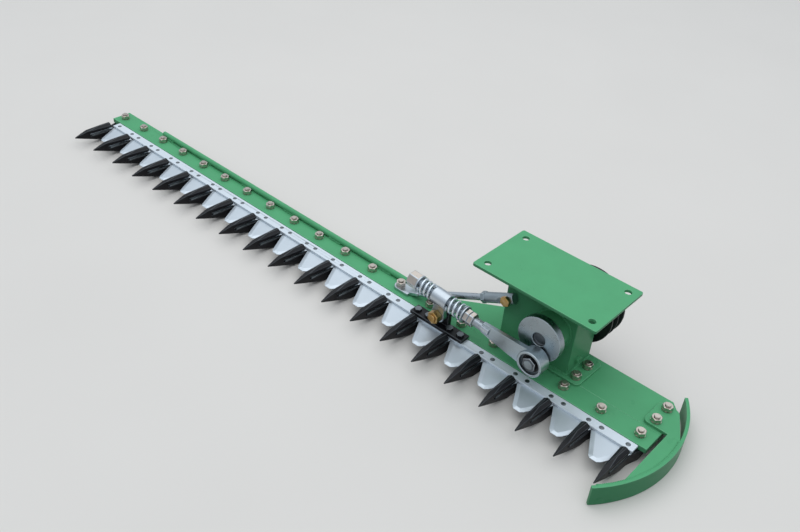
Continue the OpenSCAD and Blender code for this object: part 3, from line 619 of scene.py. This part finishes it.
def new_tree(name, inputs):
    """A Geometry Nodes tree with named inputs."""
    tree = bpy.data.node_groups.new(name, "GeometryNodeTree")
    tree.interface.new_socket("Geometry", in_out="INPUT", socket_type="NodeSocketGeometry")
    for label, kind, default in inputs:
        socket = tree.interface.new_socket(label, in_out="INPUT", socket_type="NodeSocket" + kind)
        if default is not None:
            socket.default_value = default
    tree.interface.new_socket("Geometry", in_out="OUTPUT", socket_type="NodeSocketGeometry")
    return tree, tree.nodes.new("NodeGroupInput").outputs


def close_tree(tree, geometry, finish):
    """Ends a tree in plain geometry with its finish."""
    plain = add(tree, "GeometryNodeRealizeInstances", None, {"Geometry": geometry})
    coloured = add(tree, "GeometryNodeSetMaterial", None,
                   {"Geometry": plain.outputs[0], "Material": finish})
    add(tree, "NodeGroupOutput", None, {"Geometry": coloured.outputs[0]})
    return tree


def grow(name, tree, mesh, values):
    """Runs a tree on a mesh and returns the plain mesh."""
    holder = piece_from(name, mesh)
    modifier = holder.modifiers.new("nodes", "NODES")
    modifier.node_group = tree
    for item in tree.interface.items_tree:
        if item.in_out == "INPUT" and item.name in values:
            modifier[item.identifier] = values[item.name]
    return evaluated(holder)


def points_mesh(name, points, edges=()):
    """A mesh of loose points, or of lines through them."""
    mesh = bpy.data.meshes.new(name)
    mesh.from_pydata([tuple(p) for p in points], [tuple(e) for e in edges], [])
    return mesh


def lines_mesh(name, lines):
    """A mesh of separate lines."""
    points, edges = [], []
    for line in lines:
        edges += [(len(points) + k, len(points) + k + 1) for k in range(len(line) - 1)]
        points += line
    return points_mesh(name, points, edges)


def copies_tree():
    """Copies of one piece on points, each turned by its own angle about Z."""
    tree, inputs = new_tree("copies_on_points", [
        ("Piece", "Object", None), ("Turn", "Float", 0.0), ("Seed", "Int", 1),
        ("Finish", "Material", None)])
    source = add(tree, "GeometryNodeObjectInfo", {"As Instance": True},
                 {"Object": inputs["Piece"]})
    angle = add(tree, "FunctionNodeRandomValue", {"data_type": "FLOAT"},
                {"Max": inputs["Turn"], "Seed": inputs["Seed"]})
    turn = add(tree, "ShaderNodeCombineXYZ", None, {"Z": angle.outputs[1]})
    placed = add(tree, "GeometryNodeInstanceOnPoints", None, {
        "Points": inputs["Geometry"], "Instance": source.outputs["Geometry"],
        "Rotation": turn.outputs[0]})
    return close_tree(tree, placed.outputs[0], inputs["Finish"])


def coil_tree():
    """A wire wound along Z, for springs and for threads; its ends can lie flat."""
    tree, inputs = new_tree("wound_wire", [
        ("Turns", "Float", 4.0), ("Radius", "Float", 0.01), ("Length", "Float", 0.03),
        ("Flat", "Float", 0.0), ("Wire", "Float", 0.002), ("Sides", "Int", 12),
        ("Steps", "Int", 100), ("Finish", "Material", None)])
    line = add(tree, "GeometryNodeMeshLine", None, {"Count": inputs["Steps"]})
    index = add(tree, "GeometryNodeInputIndex")
    share = add(tree, "ShaderNodeMath", {"operation": "DIVIDE"},
                {0: index.outputs[0], 1: inputs["Steps"]})
    full = add(tree, "ShaderNodeMath", {"operation": "MULTIPLY", 1: math.tau},
               {0: inputs["Turns"]})
    angle = add(tree, "ShaderNodeMath", {"operation": "MULTIPLY"},
                {0: share.outputs[0], 1: full.outputs[0]})
    sides = []
    for operation in ("COSINE", "SINE"):
        wave = add(tree, "ShaderNodeMath", {"operation": operation}, {0: angle.outputs[0]})
        side = add(tree, "ShaderNodeMath", {"operation": "MULTIPLY"},
                   {0: wave.outputs[0], 1: inputs["Radius"]})
        sides.append(side.outputs[0])
    far = add(tree, "ShaderNodeMath", {"operation": "SUBTRACT", 0: 1.0}, {1: inputs["Flat"]})
    rise = add(tree, "ShaderNodeMapRange", None, {
        "Value": share.outputs[0], "From Min": inputs["Flat"], "From Max": far.outputs[0],
        "To Max": inputs["Length"]})
    place = add(tree, "ShaderNodeCombineXYZ", None,
                {"X": sides[0], "Y": sides[1], "Z": rise.outputs[0]})
    wound = add(tree, "GeometryNodeSetPosition", None,
                {"Geometry": line.outputs[0], "Position": place.outputs[0]})
    path = add(tree, "GeometryNodeMeshToCurve", None, {"Mesh": wound.outputs[0]})
    upright = add(tree, "GeometryNodeSetCurveNormal", {"mode": "Z_UP"},
                  {"Curve": path.outputs[0]})
    ring = add(tree, "GeometryNodeCurvePrimitiveCircle", None,
               {"Resolution": inputs["Sides"], "Radius": inputs["Wire"]})
    tube = add(tree, "GeometryNodeCurveToMesh", {"Fill Caps": True},
               {"Curve": upright.outputs[0], "Profile Curve": ring.outputs[0]})
    return close_tree(tree, tube.outputs[0], inputs["Finish"])


def weld_tree():
    """Overlapping scales along lines, as a weld pool leaves them."""
    tree, inputs = new_tree("weld_scales", [
        ("Step", "Float", 0.003), ("Bead", "Float", 0.006), ("Seed", "Int", 3),
        ("Finish", "Material", None)])
    path = add(tree, "GeometryNodeMeshToCurve", None, {"Mesh": inputs["Geometry"]})
    spots = add(tree, "GeometryNodeCurveToPoints", {"mode": "LENGTH"},
                {"Curve": path.outputs[0], "Length": inputs["Step"]})
    scale = add(tree, "GeometryNodeMeshUVSphere", {"Segments": 10, "Rings": 6})
    smooth = add(tree, "GeometryNodeSetShadeSmooth", None, {"Geometry": scale.outputs[0]})
    size = add(tree, "FunctionNodeRandomValue",
               {"data_type": "FLOAT_VECTOR", 0: SCALE_LEAST, 1: SCALE_MOST},
               {"Seed": inputs["Seed"]})
    wide = add(tree, "ShaderNodeVectorMath", {"operation": "SCALE"},
               {0: size.outputs[0], "Scale": inputs["Bead"]})
    scales = add(tree, "GeometryNodeInstanceOnPoints", None, {
        "Points": spots.outputs["Points"], "Instance": smooth.outputs[0],
        "Rotation": spots.outputs["Rotation"], "Scale": wide.outputs[0]})
    return close_tree(tree, scales.outputs[0], inputs["Finish"])


TREES = {}


def tree_named(name):
    """Each tree is built once."""
    makers = {"copies": copies_tree, "coil": coil_tree, "weld": weld_tree}
    if name not in TREES:
        TREES[name] = makers[name]()
    return TREES[name]


def copies(name, template, points, finish, turn=0.0, seed=1):
    """Copies of a template mesh on points, as one piece."""
    source = piece_from(name + "_template", template)
    mesh = grow(name, tree_named("copies"), points_mesh(name, points),
                {"Piece": source, "Turn": turn, "Seed": seed, "Finish": finish})
    bpy.data.objects.remove(source)
    return piece_from(name, mesh)


def coil(name, finish, turns, radius, length, wire, sides, steps_a_turn, flat=0.0):
    """The mesh of a wire wound along Z."""
    mesh = grow(name, tree_named("coil"), points_mesh(name, [(0, 0, 0)]), {
        "Turns": turns, "Radius": radius, "Length": length, "Flat": flat, "Wire": wire,
        "Sides": sides, "Steps": int(turns * steps_a_turn), "Finish": finish})
    mesh.shade_smooth()
    return mesh


def weld(name, lines, bead, step, finish, body, slot):
    """Weld scales along lines, as one piece."""
    mesh = grow(name + "_welds", tree_named("weld"), lines_mesh(name + "_lines", lines),
                {"Step": step, "Bead": bead, "Finish": finish})
    return settle(piece_from(name + "_welds", mesh), body, slot)


def solid(name, verts, faces, finish=None, sharp=None):
    """A closed mesh; where an angle is given, it is smooth over flatter edges."""
    mesh = bpy.data.meshes.new(name)
    mesh.from_pydata(verts, [], faces)
    with editing(mesh) as shape:
        bmesh.ops.recalc_face_normals(shape, faces=shape.faces)
    if sharp is not None:
        mesh.shade_smooth()
        mesh.set_sharp_from_angle(angle=math.radians(sharp))
    if finish is not None:
        mesh.materials.append(finish)
    return mesh


def revolve(section_at):
    """Corners and faces of a closed section round Z, with its (radius, height) at each angle."""
    verts, faces = [], []
    for k in range(TURN_STEPS):
        angle = math.tau * k / TURN_STEPS
        verts += [(r * math.cos(angle), r * math.sin(angle), z) for r, z in section_at(angle)]
    count = len(verts) // TURN_STEPS
    for k in range(TURN_STEPS):
        here, ahead = k * count, (k + 1) % TURN_STEPS * count
        for i in range(count):
            n = (i + 1) % count
            faces.append((here + i, ahead + i, ahead + n, here + n))
    return verts, faces


def hex_nut(name, across, height, bore, finish):
    """A hexagon nut along Z from its seat, with turned corners and a countersunk bore."""
    face = across / 2 * NUT_FACE_SHARE
    sink = bore * NUT_SINK_SHARE
    depth = NUT_SINK_DEPTH_SHARE * height

    def section(angle):
        corner = across / 2 / math.cos(angle % (math.pi / 3) - math.pi / 6)
        drop = max(0.0, corner - face) * NUT_CORNER_SLOPE
        return [(bore, depth), (sink, 0.0), (face, 0.0), (corner, drop), (corner, height - drop),
                (face, height), (sink, height), (bore, height - depth)]

    return solid(name, *revolve(section), finish, NUT_SHARP)


def split_washer(name, inner, outer, thick, finish):
    """A spring washer along Z: a square wire ring, cut through and sprung a little open."""
    verts, faces = [], []
    lift = WASHER_LIFT_SHARE * thick
    for k in range(WASHER_STEPS + 1):
        angle = WASHER_GAP / 2 + (math.tau - WASHER_GAP) * k / WASHER_STEPS
        low = lift * k / WASHER_STEPS
        high = low + thick - lift
        for r, z in ((inner, low), (outer, low), (outer, high), (inner, high)):
            verts.append((r * math.cos(angle), r * math.sin(angle), z))
    for k in range(0, 4 * WASHER_STEPS, 4):
        for i in range(4):
            n = (i + 1) % 4
            faces.append((k + i, k + n, k + 4 + n, k + 4 + i))
    last = 4 * WASHER_STEPS
    faces += [(3, 2, 1, 0), (last, last + 1, last + 2, last + 3)]
    return solid(name, verts, faces, finish)


def knife_section(low, high):
    """One knife section with its ground edges, from the middle of its back edge."""
    half, thick, reach = (high.x - low.x) / 2, high.z - low.z, low.y - high.y
    side = reach + SECTION_CUT
    corner = SECTION_CUT - SECTION_TIP
    outline = [(-half, 0.0), (-half, SECTION_ROOT), (-SECTION_TIP, side), (corner, reach)]
    inset = [(-half, 0.0), (GROUND_ROOT - half, SECTION_ROOT),
             (GROUND_SIDE[0] - SECTION_TIP, side + GROUND_SIDE[1]),
             (GROUND_TIP[0] + corner, reach + GROUND_TIP[1])]
    outline += [(-x, y) for x, y in reversed(outline)]
    inset += [(-x, y) for x, y in reversed(inset)]
    count = len(outline)
    verts = [(x, y, z) for z in (0.0, SECTION_EDGE_SHARE * thick) for x, y in outline]
    verts += [(x, y, thick) for x, y in inset]
    faces = [tuple(range(count)), tuple(reversed(range(2 * count, 3 * count)))]
    for level in (0, count):
        for k in range(count):
            n = (k + 1) % count
            faces.append((level + k, level + count + k, level + count + n, level + n))
    return solid("section", verts, faces)


class MOWER_OT_frame(bpy.types.Operator):
    """Paints the welded frame and rounds its edges"""

    bl_idname = "mower.frame"
    bl_label = "Welded Frame"

    def execute(self, context):
        finish = make_finishes(context)
        width = context.scene.mower_size.edge
        for node in ("cutter_bar", "base_plate", "shoe_plate", "shoe_runner", "drive_housing",
                     "housing_foot", "mounting_plate", "bearing_tube", "rear_stiffener"):
            dress(node, "frame", "green_paint", finish["enamel"], finish["edge"], width)
        return {"FINISHED"}


class MOWER_OT_welds(bpy.types.Operator):
    """Lays the weld beads of the frame and of the connecting rod"""

    bl_idname = "mower.welds"
    bl_label = "Weld Beads"

    def execute(self, context):
        finish = make_finishes(context)
        bead = context.scene.mower_size.bead
        low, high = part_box("drive_housing")
        tube_low, tube_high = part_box("bearing_tube")
        crank = middle((tube_low, tube_high))
        tube = (tube_high.x - tube_low.x) / 2
        foot = [(low.x, low.y, low.z), (high.x, low.y, low.z),
                (high.x, high.y, low.z), (low.x, high.y, low.z)]
        roof = [(x, y, high.z) for x, y, _ in foot]
        lines = [foot, roof + roof[:1]]
        turn = [math.tau * k / RING_STEPS for k in range(RING_STEPS + 1)]
        for y in (low.y, high.y):
            lines.append([(crank.x + tube * math.sin(a), y, crank.z + tube * math.cos(a))
                          for a in turn])
        sweep = [math.radians(RUNNER_WELD_FROM + RUNNER_WELD_STEP * k)
                 for k in range(RUNNER_WELD_POINTS)]
        lines.append([
            RUNNER_MID + Vector((RUNNER_INNER * math.cos(a), RUNNER_INNER * math.sin(a), 0))
            for a in sweep])
        bar_low, bar_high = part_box("rear_stiffener")
        stitch = bar_low.x + STITCH_START
        while stitch < bar_high.x:
            lines.append([(x, bar_low.y + STITCH_IN, bar_low.z + STITCH_UP)
                          for x in (stitch, min(stitch + STITCH, bar_high.x))])
            stitch += STITCH_PITCH
        weld("frame", lines, bead, FRAME_STEP_SHARE * bead, finish["enamel"],
             "frame", "green_paint")

        flat = [[ON_ROD @ Vector((x - FLAT_END, y, z)) for x in ROD_WELD]
                for y in (-ROD_WELD_Y, ROD_WELD_Y) for z in (-ROD_WELD_Z, ROD_WELD_Z)]
        lug = [[ON_ROD @ Vector((x - SLEEVE_AT, y, LUG_WELD_Z))
                for x in (-LUG_WELD_HALF, LUG_WELD_HALF)] for y in (-LUG_WELD_Y, LUG_WELD_Y)]
        for name, lines, body in (("rod", flat, "rod"), ("lug", lug, "sleeve")):
            weld(name, lines, ROD_BEAD_SHARE * bead, ROD_STEP_SHARE * bead, finish["steel"],
                 body, "bare_steel")
        return {"FINISHED"}


class MOWER_OT_fingers(bpy.types.Operator):
    """Repeats one forged guard finger with worn edges along the bar"""

    bl_idname = "mower.fingers"
    bl_label = "Guard Fingers"

    def execute(self, context):
        finish = make_finishes(context)
        names = sorted(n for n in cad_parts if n.startswith("finger_"))
        first = middle(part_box(names[0]))
        for name in names:
            offset = middle(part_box(name)) - first
            mesh = merged(names[0])
            mesh.transform(Matrix.Translation(offset))
            piece = rounded(name + "_forging", mesh, finish["lacquer"], finish["worn"],
                            width=FINGER_EDGE, angle=FINGER_ANGLE)
            settle(piece, "frame", "black_paint", name)
        paint(finish["steel"], "ledger_plates")
        return {"FINISHED"}


class MOWER_OT_knife(bpy.types.Operator):
    """Repeats one ground section along the knife and finishes its back, rivets and head"""

    bl_idname = "mower.knife"
    bl_label = "Knife"

    def execute(self, context):
        finish = make_finishes(context)
        boxes = islands("knife_sections")
        points = [((low.x + high.x) / 2, high.y, low.z) for low, high in boxes]
        sections = copies("knife_sections_ground", knife_section(*boxes[0]), points,
                          finish["knife"])
        settle(sections, "knife", "zinc_plate", "knife_sections")
        dress("knife_back", "knife", "zinc_plate", finish["back"], finish["back"], width=0.0005)
        dress("knife_head", "knife", "black_paint", finish["lacquer"], finish["worn"],
              width=0.0012, segments=3)
        # Painted shade: the rivets take the dark dull zinc, standing for the shadows round their
        # heads.
        paint(finish["rivet"], "knife_rivets")
        bolts = dress("knife_head_bolts", "knife", "zinc_plate", finish["lacquer"],
                      finish["worn"], width=0.0006)
        top = max(v.co.z for v in bolts.data.vertices) - HEAD_BOLT_FACE
        recolour(bolts, finish["rivet"], lambda at: at.z > top)
        dress("pivot_bolt", "knife", "yellow_zinc", finish["yellow"], finish["yellow"],
              width=0.0008)
        return {"FINISHED"}


class MOWER_OT_fasteners(bpy.types.Operator):
    """Sets nuts, spring washers and threads on every bolt of the frame"""

    bl_idname = "mower.fasteners"
    bl_label = "Frame Fasteners"

    def execute(self, context):
        warm = make_finishes(context)["warm"]
        pitch = context.scene.mower_size.bolt_thread
        nuts = islands("frame_nuts")
        height = nuts[0][1].z - nuts[0][0].z
        nut = hex_nut("nut", NUT_ACROSS, height, NUT_BORE, warm)
        settle(copies("frame_nuts_hex", nut, seats(nuts), warm, math.tau, seed=4),
               "frame", "zinc_plate", "frame_nuts")
        washers = islands("frame_washers")
        thick = washers[0][1].z - washers[0][0].z
        ring = split_washer("washer", WASHER_INNER, WASHER_OUTER, thick, warm)
        settle(copies("frame_washers_split", ring, seats(washers), warm, math.tau, seed=7),
               "frame", "zinc_plate", "frame_washers")
        tails = [(middle(box).x, middle(box).y, box[1].z - BOLT_TAIL)
                 for box in islands("frame_bolts")]
        thread = coil("bolt_thread", warm, BOLT_THREAD_LEN / pitch, BOLT_RADIUS, BOLT_THREAD_LEN,
                      BOLT_THREAD_WIRE, THREAD_SIDES, THREAD_STEPS)
        settle(copies("bolt_threads", thread, tails, warm, math.tau, seed=9),
               "frame", "zinc_plate")
        paint(warm, "frame_bolts")
        return {"FINISHED"}


class MOWER_OT_stay(bpy.types.Operator):
    """Finishes the stay, its socket, lock nut and bolt, and the bolt in the housing's side"""

    bl_idname = "mower.stay"
    bl_label = "Stay"

    def execute(self, context):
        finish = make_finishes(context)
        for node, slot, face, edge in (
                ("stay_rod", "zinc_plate", "zinc", "zinc"),
                ("stay_socket", "bare_steel", "grey", "steel"),
                ("stay_lock_nut", "zinc_plate", "grey", "steel"),
                ("stay_bolt", "yellow_zinc", "yellow", "yellow")):
            dress(node, "frame", slot, finish[face], finish[edge], width=0.0008)
        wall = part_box("drive_housing")[1].x
        bolt = hex_nut("side_bolt", SIDE_BOLT_ACROSS, SIDE_BOLT_H, SIDE_BOLT_DIMPLE,
                       finish["enamel"])
        bolt.transform(Matrix.Translation((wall, *SIDE_BOLT_YZ))
                       @ Matrix.Rotation(math.pi / 2, 4, "Y"))
        settle(piece_from("side_bolt", bolt), "frame", "green_paint")
        return {"FINISHED"}


class MOWER_OT_crank(bpy.types.Operator):
    """Finishes the crank disc with painted shade in its recess, the shaft and the belt pulley"""

    bl_idname = "mower.crank"
    bl_label = "Crank"

    def execute(self, context):
        finish = make_finishes(context)
        disc = dress("crank_disc", "crank", "bare_steel", finish["disc"], finish["steel"],
                     width=0.001, segments=3)
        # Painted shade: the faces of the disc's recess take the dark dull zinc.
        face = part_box("crank_disc")[0].y + DISC_FACE
        recolour(disc, finish["rivet"], lambda at: at.y > face and math.hypot(
            at.x - CRANK_AXIS.x, at.z - CRANK_AXIS.z) < RECESS)
        dress("drive_pulley", "crank", "black_iron", finish["iron"], finish["iron"], width=0.0008)
        dress("pulley_bolt", "crank", "zinc_plate", finish["warm"], finish["warm"], width=0.0006)
        paint(finish["steel"], "shaft_keys", "shaft_bearings")
        # Painted shade: the shaft's dark dull zinc darkens the bottom of the disc's recess.
        paint(finish["rivet"], "crank_shaft")
        return {"FINISHED"}


class MOWER_OT_rod(bpy.types.Operator):
    """Makes the connecting rod with its thread, nuts, sleeve, springs and bearing"""

    bl_idname = "mower.rod"
    bl_label = "Connecting Rod"

    def execute(self, context):
        finish = make_finishes(context)
        size = context.scene.mower_size
        dress("connecting_rod", "rod", "bare_steel", finish["drawn"], finish["ring"],
              width=0.0012, segments=3)
        sleeve = dress("spring_sleeve", "sleeve", "bare_steel", finish["zinc"], finish["zinc"],
                       width=0.001, segments=3)
        off_rod = ON_ROD.inverted()
        recolour(sleeve, finish["steel"], lambda at: (off_rod @ at).z < LUG_TOP)
        dress("spring_washers", "rod", "zinc_plate", finish["zinc"], finish["zinc"], width=0.0007)
        dress("rod_nuts", "rod", "zinc_plate", finish["warm"], finish["zinc"],
              width=0.0012, segments=3)
        dress("crank_pin_nut", "rod", "zinc_plate", finish["rivet"], finish["zinc"], width=0.0008)
        paint(finish["steel"], "pivot_bush", "crank_pin")
        # Painted shade: the big-end bearing takes the dark dull zinc, for the shade inside the
        # ring's bore.
        paint(finish["rivet"], "big_end_bearing")
        paint(finish["zinc"], "tension_rod")

        along = ON_ROD @ Matrix.Rotation(-math.pi / 2, 4, "Y")
        length = ROD_END - FLAT_END - ROD_THREAD_END
        thread = coil("rod_thread", finish["zinc"], length / size.thread, ROD_RADIUS, length,
                      ROD_THREAD_WIRE, THREAD_SIDES, THREAD_STEPS)
        thread.transform(along @ Matrix.Translation((0, 0, FLAT_END)))
        settle(piece_from("rod_thread", thread), "rod", "zinc_plate")

        for node, start, reach, near in (
                ("left_spring", SLEEVE_AT + SLEEVE_HALF, LEFT_SPRING, True),
                ("right_spring", SLEEVE_AT - SLEEVE_HALF - RIGHT_SPRING, RIGHT_SPRING, False)):
            wire = size.wire
            mesh = coil(node + "_wire", finish["wire"], size.turns, size.coil / 2,
                        reach - wire - 2 * SPRING_SEAT, wire / 2, SPRING_SIDES, SPRING_STEPS,
                        SPRING_FLAT_TURNS / size.turns)
            mesh.transform(along @ Matrix.Translation((0, 0, start + wire / 2 + SPRING_SEAT)))
            piece = piece_from(node + "_wire", mesh)
            ends = [ON_ROD @ Vector((-start, 0, 0)), ON_ROD @ Vector((-start - reach, 0, 0))]
            if not near:
                ends.reverse()
            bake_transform(piece)
            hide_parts(node)

        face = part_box("big_end_bearing")[0].y
        seal = solid("bearing_seal", *revolve(lambda angle: SEAL_SECTION), finish["seal"],
                     SEAL_SHARP)
        seal.transform(Matrix.Translation((CRANK_PIN.x, face, CRANK_PIN.z))
                       @ Matrix.Rotation(-math.pi / 2, 4, "X"))
        settle(piece_from("bearing_seal", seal), "rod", "black_paint")
        return {"FINISHED"}


def seen_rays(tree):
    """One for the eye's rays and those that mirror or pass through, nought for the light's."""
    path = add(tree, "ShaderNodeLightPath").outputs
    seen = add(tree, "ShaderNodeMath", {"operation": "ADD"},
               {0: path["Is Camera Ray"], 1: path["Is Glossy Ray"]})
    return add(tree, "ShaderNodeMath", {"operation": "ADD", "use_clamp": True},
               {0: seen.outputs[0], 1: path["Is Transmission Ray"]}).outputs[0]


def lay_floor(stage):
    """A plain floor, pale to the eye and in reflections, that throws back light like concrete."""
    ground = CAD_BOUNDS[0][2] - FLOOR_DROP
    mesh = bpy.data.meshes.new("floor")
    mesh.from_pydata([(x * FLOOR_HALF, y * FLOOR_HALF, ground)
                      for x, y in ((-1, -1), (1, -1), (1, 1), (-1, 1))], [], [(0, 1, 2, 3)])
    floor = piece_from("floor", mesh)
    material, tree, shader, place = begin_finish("pale_floor", {
        "Metallic": 0.0, "Roughness": 0.85})
    mottle(tree, place, shader, shade(stage.floor, 0.97), shade(stage.floor, 1.02), size=0.4)
    pale = shader.inputs["Base Color"].links[0].from_socket
    sight = add(tree, "ShaderNodeMix", {"data_type": "RGBA", MIX_A: linear("#4A4744") + (1.0,)},
                {0: seen_rays(tree), MIX_B: pale})
    tree.links.new(sight.outputs[MIX_RESULT], shader.inputs["Base Color"])
    mesh.materials.append(material)


def spread_sky(scene):
    """An overcast sky: bright overhead; the horizon looks pale but gives little light."""
    world = bpy.data.worlds.new("soft_room")
    world.use_nodes = True
    sky = world.node_tree
    sky.nodes["Background"].inputs["Color"].default_value = linear("#E6EEF7") + (1.0,)
    way = add(sky, "ShaderNodeSeparateXYZ", None,
              {0: add(sky, "ShaderNodeTexCoord").outputs["Generated"]})
    dim = add(sky, "ShaderNodeMapRange", {"To Min": 0.06, "To Max": 0.55},
              {"Value": seen_rays(sky)})
    rise = add(sky, "ShaderNodeMapRange", {"From Min": 0.25, "From Max": 0.6, "To Max": 1.0},
               {"Value": way.outputs["Z"], "To Min": dim.outputs[0]})
    sky.links.new(rise.outputs[0], sky.nodes["Background"].inputs["Strength"])
    scene.world = world


def hang_lights(scene):
    """A broad key overhead and a weak fill in front."""
    for name, place, size, power in LIGHTS:
        lamp = bpy.data.lights.new(name, "AREA")
        lamp.size = size
        lamp.energy = power
        holder = bpy.data.objects.new(name, lamp)
        holder.location = place
        holder.rotation_euler = (LIGHT_AIM - Vector(place)).to_track_quat("-Z", "Y").to_euler()
        scene.collection.objects.link(holder)


def place_camera(scene, stage):
    """The photo's camera, from its place and its three angles."""
    a, e, r = stage.azimuth, stage.drop, stage.roll
    ahead = Vector((math.sin(a) * math.cos(e), math.cos(a) * math.cos(e), -math.sin(e)))
    right = Vector((math.cos(a), -math.sin(a), 0))
    up = right.cross(ahead)
    level = (math.cos(r) * right + math.sin(r) * up, math.cos(r) * up - math.sin(r) * right,
             -ahead)
    camera = bpy.data.cameras.new("camera")
    camera.sensor_width = SENSOR_WIDTH
    camera.sensor_fit = "HORIZONTAL"
    camera.lens = stage.lens
    camera.clip_end = CLIP_END
    holder = bpy.data.objects.new("camera", camera)
    holder.matrix_world = (Matrix.Translation(stage.place)
                           @ Matrix(level).transposed().to_4x4())
    scene.collection.objects.link(holder)
    scene.camera = holder


class MOWER_OT_stage(bpy.types.Operator):
    """Sets the floor, the soft light and the camera"""

    bl_idname = "mower.stage"
    bl_label = "Stage"

    def execute(self, context):
        scene = context.scene
        scene.view_settings.view_transform = "Standard"
        lay_floor(scene.mower_stage)
        spread_sky(scene)
        hang_lights(scene)
        place_camera(scene, scene.mower_stage)
        return {"FINISHED"}


OPERATORS = (MOWER_OT_frame, MOWER_OT_welds, MOWER_OT_fingers, MOWER_OT_knife,
             MOWER_OT_fasteners, MOWER_OT_stay, MOWER_OT_crank, MOWER_OT_rod, MOWER_OT_stage)


class MOWER_PT_panel(bpy.types.Panel):
    """Lists the mower's steps and settings"""

    bl_idname = "MOWER_PT_panel"
    bl_label = "Sickle Bar Mower"
    bl_space_type = "VIEW_3D"
    bl_region_type = "UI"
    bl_category = "Mower"

    def draw(self, context):
        for step in OPERATORS:
            self.layout.operator(step.bl_idname)
        scene = context.scene
        for group in (scene.mower_finish, scene.mower_size, scene.mower_stage):
            for key in group.__annotations__:
                self.layout.prop(group, key)


GROUPS = {"mower_finish": MowerFinish, "mower_size": MowerSize, "mower_stage": MowerStage}


def register():
    for name, group in GROUPS.items():
        bpy.utils.register_class(group)
        setattr(bpy.types.Scene, name, bpy.props.PointerProperty(type=group))
    for step in OPERATORS + (MOWER_PT_panel,):
        bpy.utils.register_class(step)


def unregister():
    for step in reversed(OPERATORS + (MOWER_PT_panel,)):
        bpy.utils.unregister_class(step)
    for name, group in GROUPS.items():
        delattr(bpy.types.Scene, name)
        bpy.utils.unregister_class(group)


def main():
    register()
    for step in OPERATORS:
        group, name = step.bl_idname.split(".")
        getattr(getattr(bpy.ops, group), name)()


if __name__ == "__main__":
    main()
